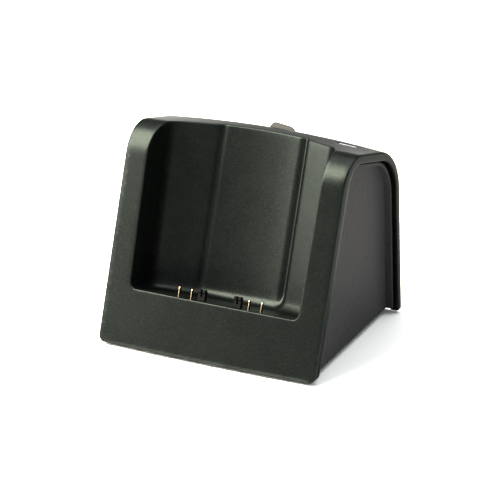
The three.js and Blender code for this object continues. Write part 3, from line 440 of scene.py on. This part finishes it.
def shell_point(x, run, depth=0.0):
    """A point of the shell at x, a run along its side outline and a share of the edge band deep."""
    outer = [np.interp(run, line_run, outer_line[:, k]) for k in (0, 1)]
    inner = [np.interp(run, line_run, band_line[:, k]) for k in (0, 1)]
    y, z = (a + (b - a) * depth for a, b in zip(outer, inner))
    return warp(np.asarray(x, float), y, z)


def bay_place(x, p, s):
    """From the leaning frame of the bay: p runs square to the front face and s up along it."""
    y = s * math.sin(front_lean) + p * math.cos(front_lean)
    z = s * math.cos(front_lean) - p * math.sin(front_lean) + shell_lift
    return np.stack([x + 0 * y, y, z], -1)


def bay_frame_of(points):
    """(p, s) of points in the leaning frame of the bay."""
    y, z = points[..., 1], points[..., 2] - shell_lift
    return (y * math.cos(front_lean) - z * math.sin(front_lean),
            y * math.sin(front_lean) + z * math.cos(front_lean))


def ease(t):
    """From 0 to 1 with a soft start and end."""
    return t * t * (3 - 2 * t)


def half_bay_plan(groove_depth, groove_share):
    """Plan of half the bay (x, p), from its front edge round the corner and the step to the middle.

    The step ends in a shallow groove of that depth, which takes up that share of the step's run."""
    step_out = step_half_width + step_run
    step_front = bay_depth - back_hollow - step_rise
    wall_end = np.array([bay_half_width - side_wall_draft, side_wall_depth])
    strip_end = np.array([strip_edge_x, step_front - strip_rise])
    pull = np.array([bay_half_width - corner_pull[0], strip_end[1] - corner_pull[1]])
    plan = [(bay_half_width, mouth_front), (bay_half_width, 0.0)]
    for t in np.linspace(0, 1, 24):
        plan.append(tuple(wall_end * (1 - t) ** 2 + pull * 2 * t * (1 - t) + strip_end * t * t))
    plan.append((step_out + step_lead[0], step_front - step_lead[1]))
    step_wall = np.linspace(0, 1, 9)
    for t in step_wall:
        plan.append((step_out - step_run * (1 - groove_share) * t,
                     step_front + (step_rise + groove_depth) * ease(t)))
    for t in step_wall[1:] if groove_share else ():
        plan.append((step_half_width + step_run * groove_share * (1 - t),
                     step_front + step_rise + groove_depth * (1 - ease(t))))
    for t in np.linspace(0.97, 0, 30):
        plan.append((step_half_width * t, bay_depth - back_hollow * t * t))
    return np.array(plan)


def smooth(values, reach):
    """Running mean that leaves the ends in place."""
    kernel = np.hanning(2 * reach + 3)[1:-1]
    kernel /= kernel.sum()
    before = 2 * values[:1] - values[reach:0:-1]
    after = 2 * values[-1:] - values[-2:-reach - 2:-1]
    padded = np.concatenate([before, values, after])
    return np.stack([np.convolve(column, kernel, "valid") for column in padded.T], -1)


# The wall follows the grooved plan and its foot the plain one, so that no fold forms at the grooves
whole_plan = np.concatenate([
    half_bay_plan(*left_groove) * [-1, 1], half_bay_plan(*right_groove)[-2::-1]])
plan_run = run_along(whole_plan)
fine_run = np.arange(0, plan_run[-1], plan_step)
even_plan = [np.interp(fine_run, plan_run, column) for column in whole_plan.T]
wall_plan = smooth(np.stack(even_plan, -1), wall_blur)
plain_x, plain_p = half_bay_plan(0, 0)[::-1].T
foot_plan = wall_plan.copy()
at_back = np.abs(wall_plan[:, 0]) < strip_edge_x - 2
foot_plan[at_back, 1] = np.interp(np.abs(wall_plan[at_back, 0]), plain_x, plain_p)
foot_plan = smooth(foot_plan, foot_blur)
heading = smooth(np.gradient(foot_plan, axis=0), heading_blur)
heading /= np.hypot(*heading.T)[:, None]
fillet_run = floor_fillet * math.pi / 2


def on_plan(q, plan):
    """What a plan, or the heading along it, holds at a run q."""
    return [np.interp(q, fine_run, column) for column in plan.T]


def up_the_wall(w):
    """Angle round the floor fillet and height s at a way w up from the fillet's foot."""
    angle = np.clip(w / floor_fillet, 0, math.pi / 2)
    return angle, lip_height + floor_fillet * (1 - np.cos(angle)) + np.clip(w - fillet_run, 0, None)


def flared(x, s):
    """Moves x outward with the height s: fully on the side walls and not at all on the back."""
    flat_to = step_half_width + step_run
    share = np.clip((np.abs(x) - flat_to) / (bay_half_width - flat_to), 0, 1)
    return x + np.sign(x) * bay_flare * share * (s - lip_height) / bay_flare_height


def bay_point(q, w):
    """A point of the bay's wall: q runs round the plan, w up from the foot of the floor fillet."""
    q, w = np.broadcast_arrays(np.asarray(q, float), np.asarray(w, float))
    climb = np.clip((w - climb_start * fillet_run) / (climb_length * fillet_run), 0, 1)
    x, p = (
        foot * (1 - climb) + wall * climb
        for foot, wall in zip(on_plan(q, foot_plan), on_plan(q, wall_plan)))
    dx, dp = on_plan(q, heading)
    angle, s = up_the_wall(w)
    full = leg_fillet_share + (1 - leg_fillet_share) * np.abs(dx)
    reach = floor_fillet * (1 - np.sin(angle)) * full
    return bay_place(flared(x, s) + dp * reach, p - dx * reach, s)


def run_at_height(x, s):
    """The outline run at which the front face reaches a height s of the bay frame."""
    run = np.array(s, float)
    for _ in range(5):
        run = run + s - bay_frame_of(shell_point(x, run))[1]
    return run


# Edge of the bay's mouth: up to the bend on the legs, then over the top along the plan
leg_height = front_bend_start - lip_height - floor_fillet
leg_rows = np.concatenate([
    np.linspace(0, fillet_run, 8), np.linspace(fillet_run, leg_height + fillet_run, 34)[1:]])
row_count = len(leg_rows)


def leg_edge(side):
    """Mouth edge on a front leg, from the floor up: (x, run) on the shell and q on the wall."""
    angle, s = up_the_wall(leg_rows)
    reach = leg_fillet_share * floor_fillet * (1 - np.sin(angle))
    x = side * (bay_half_width + bay_flare * (s - lip_height) / bay_flare_height - reach)
    run = run_at_height(x, s)
    q = bay_frame_of(shell_point(x, run))[0] - wall_plan[0, 1]
    return x, run, q if side < 0 else fine_run[-1] - q


def mouth_top(leg_x, leg_run):
    """Mouth edge over the top from the left leg's end to the right one's.

    It is found as (x, run) on the shell and (q, w) on the wall, closely spaced round the bend."""
    bend_runs = np.linspace(leg_run, front_bend_end - 0.5, 22)[1:]
    depths = bay_frame_of(shell_point(leg_x, bend_runs))[0]
    half = len(fine_run) // 2
    ways = list(np.interp(depths, wall_plan[:half, 1], fine_run[:half]))
    middle = fine_run[-1] / 2
    ways += list(np.linspace(ways[-1], middle, round((middle - ways[-1]) / column_gap))[1:])
    ways += [fine_run[-1] - way for way in ways[-2::-1]]
    table = np.linspace(front_bend_start - 4, rear_bend_start + 8, 400)
    found = []
    for way in ways:
        plan_x, plan_p = on_plan(way, wall_plan)
        s = front_bend_start + 4
        for _ in range(4):
            at_x = flared(plan_x, s)
            depth, height = bay_frame_of(shell_point(np.full(table.shape, at_x), table))
            at_run = np.interp(plan_p, depth, table)
            s = np.interp(at_run, table, height)
        found.append((at_x, at_run, way, s - lip_height - floor_fillet + fillet_run))
    return np.array(found).T


def offset_path(path, distance, closed):
    """Moves a flat path to its left by a distance; minus is to its right."""
    along = np.roll(path, -1, 0) - np.roll(path, 1, 0) if closed else np.gradient(path, axis=0)
    along = along / np.hypot(*along.T)[:, None]
    return path + distance * np.stack([-along[:, 1], along[:, 0]], -1)


left_x, left_run, left_q = leg_edge(-1)
right_x, right_run, right_q = leg_edge(1)
top_x, top_run, top_q, top_w = mouth_top(left_x[-1], left_run[-1])
lip_x = np.linspace(left_x[0], right_x[0], 60)[1:-1]
lip_run = run_at_height(lip_x, np.full(lip_x.shape, lip_height))
lip_depth = bay_frame_of(shell_point(lip_x, lip_run))[0]

# Anticlockwise on the shell: along the lip, up the right leg, over the top and down the left leg
mouth = np.concatenate([
    np.stack([lip_x, lip_run], -1),
    np.stack([right_x, right_run], -1),
    np.stack([top_x, top_run], -1)[::-1],
    np.stack([left_x, left_run], -1)[::-1],
])
mouth_outside = offset_path(mouth, -bay_rounding, True)

# Walls in columns from the fillet's foot up to just below that edge, from the left leg to the right
wall_edge = np.concatenate([
    np.stack([left_q, leg_rows], -1),
    np.stack([top_q, top_w], -1),
    np.stack([right_q, leg_rows], -1)[::-1],
])
column_tops = offset_path(wall_edge, -bay_rounding, False)[row_count:-row_count]
share_up = (leg_rows - fillet_run) / (leg_rows[-1] - fillet_run)
columns = [bay_point(left_q + bay_rounding, leg_rows)]
for q, w in column_tops:
    rise = np.where(share_up > 0, fillet_run + share_up * (w - fillet_run), leg_rows)
    columns.append(bay_point(np.full(row_count, q), rise))
columns.append(bay_point(right_q - bay_rounding, leg_rows))
bay_sheet = Skin()
bay_sheet.loft(columns)
lip_inside = bay_place(lip_x, lip_depth + bay_rounding, np.full(lip_x.shape, lip_height))
wall_side = np.concatenate([
    lip_inside,
    columns[-1],
    np.array([column[-1] for column in columns[-2:0:-1]]),
    columns[0][::-1],
])
mouth_side = shell_point(*mouth_outside.T)
mouth_edge = shell_point(*mouth.T)


def rounded_strip(outer, edge, inner, steps=5):
    """Rings of a rounded edge from one side of a sharp corner line to the other."""
    return [
        outer * (1 - t) ** 2 + edge * 2 * t * (1 - t) + inner * t * t
        for t in np.linspace(0, 1, steps + 1)]


bay_sheet.loft(rounded_strip(mouth_side, mouth_edge, wall_side), closed=True)


def slot_loop(x0, x1, y0, y1, corner, step=0.8):
    """Anticlockwise rectangle with rounded corners and points a step apart along its sides."""
    arcs = []
    for x, y, start in ((x1, y0, -90), (x1, y1, 0), (x0, y1, 90), (x0, y0, 180)):
        middle = (x - corner * (1 if x == x1 else -1), y - corner * (1 if y == y1 else -1))
        arcs.append([middle + corner * unit(math.radians(start + 30 * k)) for k in range(4)])
    points = []
    for arc, after in zip(arcs, arcs[1:] + arcs[:1]):
        count = max(1, round(math.dist(arc[-1], after[0]) / step))
        points += arc + [arc[-1] + (after[0] - arc[-1]) * k / count for k in range(1, count)]
    return np.array(points)


def pierce(loop, place, away, rounding, depth):
    """Rounded edge and wall of an opening; returns the flat loop that the surface is cut along."""
    wide = offset_path(loop, -rounding, True)
    edge = place(*loop.T)
    rings = rounded_strip(place(*wide.T), edge, edge + away * rounding, 3)
    bay_sheet.loft([*rings, edge + away * depth], closed=True)
    return wide


# Floor of the bay with slots for the four contacts and the two hooks
contact_spots = (-15.2, -10.6, 10.6, 15.2)
contact_slot = (0.6, 3.7, 6.3)
hook_spots = (-6.6, 6.6)
hook_slot = (1.5, 3.95, 6.25)
floor_spacing = (0.9, 0.9)


def on_floor(x, p):
    return bay_place(x, p, np.full(np.shape(x), lip_height))


down_the_bay = bay_place(0.0, 0.0, -1.0) - bay_place(0.0, 0.0, 0.0)
floor_holes = []
for spots, (half, front, rear) in ((contact_spots, contact_slot), (hook_spots, hook_slot)):
    for x in spots:
        loop = slot_loop(x - half, x + half, front, rear, corner=0.2)
        floor_holes.append(pierce(loop, on_floor, down_the_bay, rounding=0.12, depth=1.4))
floor_rim = np.concatenate([lip_inside, np.array([column[0] for column in columns[::-1]])])
floor_outline = np.stack([floor_rim[:, 0], bay_frame_of(floor_rim)[0]], -1)
bay_sheet.cover(floor_outline, floor_holes, floor_spacing, on_floor)


# Openings in the skin: light window and latch slot in the ridge, battery pocket with the gap above
# it that the latch's hook moves in, data socket and power socket in the rear
latch_gap = (-4.8, 4.8)
pocket_top = 54.62
hook_gap_top = 59.5
gap_corner = 0.4
skin_spacing = (1.6, 1.3)


def seen_along(axis, loop, start, end):
    """Lays a loop across X and depth (axis 1) or height (axis 2) on the shell, as X and run."""
    table = np.linspace(start, end, 160)
    runs = []
    for x, value in loop:
        reached = shell_point(np.full(table.shape, x), table)[:, axis]
        order = np.argsort(reached)
        runs.append(np.interp(value, reached[order], table[order]))
    return np.stack([loop[:, 0], runs], -1)


window = slot_loop(25.15, 32.05, 47.55, 49.45, corner=0.5)
latch_slot = slot_loop(*latch_gap, 57.3, 59.7, gap_corner)
data_socket_gap = slot_loop(-21.1, -12.9, 8.95, 13.35, corner=0.3)
power_socket_gap = slot_loop(12.25, 21.75, 8.95, 15.45, corner=0.3)
pocket = slot_loop(-24.75, 24.75, 17.71, pocket_top, corner=0.6)
hook_gap = slot_loop(*latch_gap, pocket_top, hook_gap_top, gap_corner)
hook_gap = hook_gap[hook_gap[:, 1] > pocket_top + 0.75 * gap_corner]
at_gap = np.abs(pocket[:, 0]) < latch_gap[1] + 0.7
replaced = np.flatnonzero(at_gap & (pocket[:, 1] > pocket_top - 0.02))
pocket = np.concatenate([
    pocket[:replaced[0]], [(latch_gap[1], pocket_top)], hook_gap, [(latch_gap[0], pocket_top)],
    pocket[replaced[-1] + 1:]])
down = np.array([0.0, 0.0, -1.0])
forward = np.array([0, -math.cos(rear_lean), -math.sin(rear_lean)])
skin_holes = []
for axis, opening, start, end, away, rounding, depth in (
        (1, window, front_bend_end, rear_bend_start, down, 0.25, 1.3),
        (1, latch_slot, front_bend_end, rear_bend_end, down, 0.25, 2.2),
        (2, pocket, rear_bend_start + 2, line_end, forward, 0.3, 2.1),
        (2, data_socket_gap, rear_bend_end, line_end, forward, 0.25, 2.1),
        (2, power_socket_gap, rear_bend_end, line_end, forward, 0.25, 2.1)):
    loop = seen_along(axis, opening, start, end)
    skin_holes.append(pierce(loop if axis == 1 else loop[::-1], shell_point, away, rounding, depth))

# Outer skin between the two side edges, with every opening left out
half_width = shell_width / 2
round_corner = 1 - np.cos(np.linspace(0, math.pi / 2, 9))
side_runs = np.unique(np.concatenate([
    front_corner_radius * round_corner,
    line_end - rear_corner_radius * round_corner,
    np.linspace(front_corner_radius, front_bend_start, 34),
    np.linspace(front_bend_start, front_bend_end, 22),
    np.linspace(front_bend_end, rear_bend_start, 16),
    np.linspace(rear_bend_start, rear_bend_end, 24),
    np.linspace(rear_bend_end, line_end - rear_corner_radius, 26),
]).round(9))
side_x = np.full(side_runs.shape, half_width)
for radius, from_foot in (
        (front_corner_radius, side_runs), (rear_corner_radius, line_end - side_runs)):
    short = np.clip(radius - from_foot, 0, radius)
    side_x -= radius - np.sqrt(radius ** 2 - short ** 2)
skin_edge_x = side_x - outer_rounding
across_foot = np.linspace(-1, 1, 62)[1:-1]
skin_outline = np.concatenate([
    np.stack([across_foot * skin_edge_x[0], 0 * across_foot], -1),
    np.stack([skin_edge_x, side_runs], -1),
    np.stack([across_foot * skin_edge_x[-1], 0 * across_foot + line_end], -1)[::-1],
    np.stack([-skin_edge_x, side_runs], -1)[::-1],
])
bay_sheet.cover(skin_outline, [mouth_outside, *skin_holes], skin_spacing, shell_point)

# Side edges: a rounded corner, the narrow side band and its return wall, which holds the side panel
end_x = np.full(side_runs.shape, half_width)
return_line = shell_point(end_x, side_runs, 1.0)[:, 1:]
band_width = np.hypot(*(return_line - shell_point(end_x, side_runs)[:, 1:]).T)
edge_rings = []
for angle in np.linspace(0, math.pi / 2, 6):
    edge_rings.append((side_x - outer_rounding * (1 - math.sin(angle)),
                       outer_rounding * (1 - math.cos(angle)) / band_width))
edge_rings.append((side_x, (outer_rounding / band_width + 1) / 2))
for angle in np.linspace(0, math.pi / 2, 4):
    edge_rings.append((side_x - inner_rounding * (1 - math.cos(angle)),
                       1 - inner_rounding * (1 - math.sin(angle)) / band_width))
edge_rings.append((np.minimum(side_x, half_width - edge_band_depth), np.ones(len(side_runs))))
for side in (-1, 1):
    bay_sheet.loft([shell_point(side * x, side_runs, share) for x, share in edge_rings])

# Paint on all of it but the return wall and its inner rounding, which get a near-black material:
# painted shade for the dark line in the gap between the side band and the panel
shell_mesh = bay_sheet.mesh("outer_shell_sheet")
for face in shell_mesh.polygons:
    x, y, z = np.array(face.center) / MM
    if abs(x) > half_width - edge_band_depth - 0.1:
        off_line = np.hypot(*(return_line - [y - shell_front, z]).T).min()
        face.material_index = int(off_line < 0.85 * inner_rounding)
paint_dark = (0.0098, 0.0118, 0.0107, 1)
paint_light = (0.0117, 0.0139, 0.0127, 1)
flake_colour = (0.021, 0.0245, 0.0222, 1)
rubbed_colour = (0.035, 0.038, 0.034, 1)
paint, tree = new_material("green_grey_metallic_paint")
flakes = tree.noise(0.0003, 2.0)
mottle = tree.noise(0.009, 3.0)
rubbed = tree.node("NewGeometry", output="Pointiness").band(0.52, 0.62) * mottle.band(0.3, 0.6)
paint_shade = mottle.band(0.35, 0.65).blend(paint_dark, paint_light)
flaked = flakes.band(0.45, 0.72).blend(paint_shade, flake_colour)
close_material(tree, {
    "Base Color": (0.6 * rubbed).blend(flaked, rubbed_colour),
    "Metallic": 0.88,
    "Roughness": 0.26 + 0.1 * flakes,
    "Specular IOR Level": 0.1,
    "Specular Tint": (0.48, 0.48, 0.48, 1),
    "Normal": flakes.bump(0.00001, 0.35),
})
outer_shell = show(
    shell_mesh, "outer_shell_moulding", "cradle", "metallic_paint", paint, "outer_shell")
# Near-black with a faint random mottle: painted shade along the return wall, for the dark gap line
# beside the side panel
gap_shade_colour = (0.0012, 0.0012, 0.0012, 1)
gap_shade_mottle_colour = (0.003, 0.0032, 0.003, 1)
gap_shade, tree = new_material("gap_shade_black")
gap_shade_mottle = tree.noise(0.0018, 3.0)
close_material(tree, {
    "Base Color": gap_shade_mottle.band(0.4, 0.75).blend(gap_shade_colour, gap_shade_mottle_colour),
    "Roughness": 0.5 + 0.2 * gap_shade_mottle,
    "Specular IOR Level": 0.03,
})
shell_mesh.materials.append(gap_shade)
wall = outer_shell.modifiers.new("wall", "SOLIDIFY")
wall.thickness = sheet_thickness * MM
wall.offset = -1


# Side panels
# A gloss black plastic plate sunk into each side, with a narrow raised rim round a field that lies
# deeper towards the rear. It clips into the shell's return wall from outside.
panel_inset = 1.7
panel_gap = 0.6
panel_rim = 1.2
panel_lift = 1.3
field_depth = (0.15, 2.4)
panel_rounding = 0.3
rim_rounding = (0.2, 0.1)
panel_thickness = 3.4
panel_crisp = math.radians(9)
field_spacing = (2.4, 2.4)
back_spacing = (6.0, 6.0)
gloss_colour = (0.0256, 0.0254, 0.0277, 1)
dusty_colour = (0.0276, 0.0274, 0.0297, 1)
face_x = half_width - panel_inset


def panel_line(margin):
    """Outline (y, z) of the panel without its bottom edge, a margin inside its own edge."""
    inset = tuple(band + panel_gap + margin for band in edge_band)
    return side_outline(inset, 24, panel_lift, edge_band_spread)


rim_ends = panel_line(panel_rim)[[-1, 0]]
bottom_edge = rim_ends[0] + (rim_ends[1] - rim_ends[0]) * np.linspace(0, 1, 60)[:, None]


def panel_loop(margin):
    """The same outline closed along the bottom, where the panel has no rim."""
    return np.concatenate([panel_line(margin), bottom_edge])[::-1]


def on_field(y, z):
    """Lays points on the field, which lies deeper towards the rear."""
    place = warp(np.full(np.shape(y), half_width), y, z)
    front, rear = field_depth
    place[:, 0] = face_x - front - (rear - front) * np.clip(place[:, 1] / base_depth, 0, 1)
    return place


def on_back(y, z):
    """Lays points on the flat inner side."""
    place = on_field(y, z)
    place[:, 0] = face_x - panel_thickness
    return place


def panel_ring(margin, x):
    """The closed outline at x; along the bottom it stays below the field."""
    place = on_field(*panel_loop(margin).T)
    bottom = slice(len(bottom_edge))
    field_x = place[bottom, 0].copy()
    place[:, 0] = x
    place[bottom, 0] = np.minimum(x, field_x)
    return place


# From the inner side out, over the rounded edge, across the rim and down to the field
panel_rings = [panel_ring(0, face_x - panel_thickness), panel_ring(0, face_x - panel_rounding)]
for angle in np.linspace(0, math.pi / 2, 5)[1:]:
    panel_rings.append(panel_ring(
        panel_rounding * (1 - math.cos(angle)), face_x - panel_rounding * (1 - math.sin(angle))))
for angle in np.linspace(0, math.pi / 2, 4):
    panel_rings.append(panel_ring(
        panel_rim - rim_rounding[0] * (1 - math.sin(angle)),
        face_x - rim_rounding[1] * (1 - math.cos(angle))))
panel_rings.append(on_field(*panel_loop(panel_rim).T))
panel = Skin()
panel.loft(panel_rings, closed=True)
panel.cover(panel_loop(panel_rim), [], field_spacing, on_field)
panel.cover(panel_loop(0), [], back_spacing, on_back)

gloss, tree = new_material("gloss_black_plastic")
dust = tree.noise(0.0035, 3.0)
close_material(tree, {
    "Base Color": dust.band(0.4, 0.8).blend(gloss_colour, dusty_colour),
    "Roughness": 0.24 + 0.1 * dust,
    "Specular IOR Level": 0.004,
    "Normal": tree.noise(0.012, 1.0).bump(0.00003, 0.15),
})
for name in ("side_panel_left", "side_panel_right"):
    panel.points = [(-x, y, z) for x, y, z in panel.points]
    panel_mesh = panel.mesh(name + "_sheet", panel_crisp)
    show(panel_mesh, name + "_moulding", "cradle", "gloss_dark", gloss, name)


# Device contact group
# A black moulded block hangs under the bay floor and holds four spring contacts, stamped from
# gold-plated bronze. Two forked hooks on the block come up through the floor and locate the device.
contact_bodies = ("device_contact_a", "device_contact_b", "device_contact_c", "device_contact_d")
blade_thickness = 0.42
blade_edge = 0.1
blade_outline = np.array([
    (4.6, 14.2), (4.6, 21.9), (4.72, 22.3), (4.95, 22.55), (5.25, 22.62), (5.55, 22.5),
    (5.8, 22.15), (5.95, 21.6), (6.0, 20.9), (6.0, 14.2)])
matt_colours = (0.0022, 0.0022, 0.0024, 1), (0.004, 0.004, 0.0042, 1)
gold_colour = (0.36, 0.28, 0.2, 1)
worn_gold_colour = (0.28, 0.2, 0.13, 1)
# Dark brown painted shade for the broad flat sides of the contact blades
side_shade_colour = (0.075, 0.045, 0.026, 1)
film_colour = (0.09, 0.036, 0.008, 1)
track_colour = (0.13, 0.062, 0.018, 1)


def refinish(material, *nodes, edge=None):
    """Gives CAD nodes that stay in view a material and, where told, edges rounded that much."""
    for node in nodes:
        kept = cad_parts[node]
        kept.data.materials.clear()
        kept.data.materials.append(material)
        if edge:
            rounding = kept.modifiers.new("edge", "BEVEL")
            rounding.width = edge * MM
            rounding.segments = 2
            rounding.limit_method = "ANGLE"
            rounding.angle_limit = crisp_angle


matt_black, tree = new_material("matt_black_plastic")
grain = tree.noise(0.0004, 2.0)
close_material(tree, {
    "Base Color": tree.noise(0.004, 3.0).band(0.35, 0.7).blend(*matt_colours),
    "Roughness": 0.42 + 0.12 * grain,
    "Specular IOR Level": 0.08,
    "Normal": grain.bump(0.00002, 0.3),
})
refinish(matt_black, "contact_block", edge=0.08)

gold, tree = new_material("gold_plated_bronze")
wear = tree.noise(0.0012, 3.0)
facing = tree.node("SeparateXYZ", None, {"Vector": tree.node("TexCoord", output="Normal")}, "X")
# Faces whose normals run along X, the broad flat sides of the blades, are painted dark brown:
# painted shade beside the bright narrow edges
side_shade = abs(facing).band(0.5, 0.85)
plating = wear.band(0.4, 0.75).blend(gold_colour, worn_gold_colour)
close_material(tree, {
    "Base Color": side_shade.blend(plating, side_shade_colour),
    "Metallic": 1.0,
    "Roughness": 0.2 + 0.2 * wear,
})
half_blade = blade_thickness / 2
for number, (x, body) in enumerate(zip(contact_spots, contact_bodies), 1):
    blade = Skin()
    rings = []
    for away, margin in (
            (-half_blade, blade_edge), (blade_edge - half_blade, 0),
            (half_blade - blade_edge, 0), (half_blade, blade_edge)):
        rings.append(bay_place(x + away, *offset_path(blade_outline, -margin, True).T))
    blade.loft(rings, closed=True)
    for face in (rings[0], rings[-1]):
        blade.add(face, [range(len(face))])
    name = f"contact_blade_{number}"
    show(blade.mesh(name + "_sheet"), name, body, "gold_plate", gold, f"device_contact_{number}")

flex, tree = new_material("amber_flex_film")
tracks = tree.node("TexWave", {"wave_type": "BANDS", "bands_direction": "X"}, {
    "Vector": tree.node("TexCoord", output="Object"), "Scale": 420.0}, "Fac")
close_material(tree, {
    "Base Color": tracks.band(0.5, 0.7).blend(film_colour, track_colour),
    "Roughness": 0.3,
    "Specular IOR Level": 0.15,
})
refinish(flex, "contact_flex")


# Spare battery pocket
# A black moulded tray set into the rear wall, with three gold contacts. A satin grey plastic latch
# comes up through the ridge of the shell. A small steel spring presses it down onto the battery.
satin_colours = (0.026, 0.0265, 0.023, 1), (0.042, 0.0425, 0.038, 1)
steel_colours = (0.2, 0.203, 0.207, 1), (0.15, 0.153, 0.157, 1)
spring_radius = 1.5
wire_radius = 0.22
coil_turns = 3.5
end_turns = 0.75
end_climb = 0.72
spring_low = 56.12
spring_top = 61.7
spring_axis_y = 55.1


def numbered(name, count):
    """Names of like nodes, counted from 1."""
    return [f"{name}_{k}" for k in range(1, count + 1)]


refinish(matt_black, "battery_tray", "battery_contact_block", edge=0.2)
refinish(gold, *numbered("battery_contact", 3))
satin, tree = new_material("satin_latch_plastic")
stipple = tree.noise(0.00035, 2.0)
close_material(tree, {
    "Base Color": stipple.band(0.35, 0.65).blend(*satin_colours),
    "Roughness": 0.5 + 0.15 * stipple,
    "Specular IOR Level": 0.1,
    "Normal": stipple.bump(0.00002, 0.4),
})
refinish(satin, "battery_latch", edge=0.15)
steel, tree = new_material("zinc_plated_steel")
haze = tree.noise(0.0008, 3.0)
close_material(tree, {
    "Base Color": haze.band(0.35, 0.7).blend(*steel_colours),
    "Metallic": 1.0,
    "Roughness": 0.25 + 0.2 * haze,
})

# Spring wire in a helix, with a flatter part turn at each end, just clear of its seats
low, high = spring_low + wire_radius + 0.03, spring_top - wire_radius - 0.05
turn = np.linspace(0, coil_turns + 2 * end_turns, 121)
climb = np.interp(
    turn, [0, end_turns, end_turns + coil_turns, turn[-1]],
    [low, low + end_climb, high - end_climb, high])
wire_round = np.array([unit(angle) for angle in np.linspace(0, 2 * math.pi, 12, endpoint=False)])
reach, rise = wire_round.T * wire_radius
wire_rings = []
for angle, height in zip(turn * 2 * math.pi, climb):
    x, y = unit(angle)[:, None] * (spring_radius + reach)
    wire_rings.append(np.stack([x, spring_axis_y + y, height + rise], -1))
coil = Skin()
coil.loft(wire_rings, closed=True)
for ring in (wire_rings[0], wire_rings[-1]):
    coil.add(ring, [range(len(ring))])
coil_mesh = coil.mesh("latch_spring_wire")
spring = show(coil_mesh, "latch_spring_coil", "cradle", "steel", steel, "latch_spring")
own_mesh(spring)


# Base plate, feet and screws
# A flat black plastic plate closes the shell from below, held by four screws, with a rubber foot
# near each corner. A steel plate on it keeps the cradle in place when the device is lifted out.
rubber_colours = (0.0035, 0.0035, 0.0035, 1), (0.0068, 0.0068, 0.0065, 1)
refinish(matt_black, "base_plate", edge=0.3)
rubber, tree = new_material("black_rubber")
speck = tree.noise(0.0006, 3.0)
close_material(tree, {
    "Base Color": speck.band(0.4, 0.8).blend(*rubber_colours),
    "Roughness": 0.78 + 0.15 * speck,
    "Specular IOR Level": 0.15,
    "Normal": speck.bump(0.00003, 0.4),
})
refinish(rubber, *numbered("rubber_foot", 4), edge=0.35)
refinish(steel, "ballast_plate", *numbered("base_screw", 4))


# Main board and its parts
# A small green circuit board stands on posts of the base plate. It carries the charge chip, a coil,
# two capacitors, the status lamp and both sockets, which reach through the rear wall of the shell.
mask_colours = (0.004, 0.024, 0.01, 1), (0.008, 0.042, 0.018, 1)
can_colours = (0.17, 0.172, 0.177, 1), (0.22, 0.223, 0.228, 1)
board, tree = new_material("green_solder_mask")
copper = tree.node("TexBrick", {"offset": 0.5}, {
    "Vector": tree.node("TexCoord", output="Object"), "Scale": 260.0, "Mortar Size": 0.06}, "Fac")
close_material(tree, {
    "Base Color": copper.blend(*mask_colours),
    "Roughness": 0.35,
    "Specular IOR Level": 0.15,
})
refinish(board, "main_board")
refinish(steel, *numbered("board_screw", 4))
can, tree = new_material("aluminium_can")
close_material(tree, {
    "Base Color": tree.noise(0.001, 2.0).blend(*can_colours),
    "Metallic": 1.0,
    "Roughness": 0.32,
})
refinish(can, *numbered("filter_capacitor", 2), "usb_socket")
refinish(matt_black, "charge_chip", "power_inductor", "dc_jack")


# Light window
# A clear moulded pipe brings the light of a small lamp on the board up to a slot in the top of the
# shell. Its end shows as a milky bar, darker where the slot's edge shades it.
pipe_middle = sum(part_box("light_pipe"), Vector()) / 2
clear_colours = (0.55, 0.56, 0.56, 1), (0.7, 0.71, 0.71, 1)
shaded_colour = (0.035, 0.035, 0.034, 1)
clear, tree = new_material("milky_clear_plastic")
cloud = tree.noise(0.002, 2.0)
place = tree.node("TexCoord", output="Object")
across = tree.node("SeparateXYZ", None, {"Vector": place}, "Y") - pipe_middle.y
along = tree.node("SeparateXYZ", None, {"Vector": place}, "X") - pipe_middle.x
shaded_edge = tree.maths(
    "MAXIMUM", abs(across).band(0.0001, 0.00028), abs(along).band(0.0027, 0.0029))
close_material(tree, {
    "Base Color": shaded_edge.blend(cloud.blend(*clear_colours), shaded_colour),
    "Roughness": 0.18 + 0.1 * cloud,
})
refinish(clear, "light_pipe", "status_led")
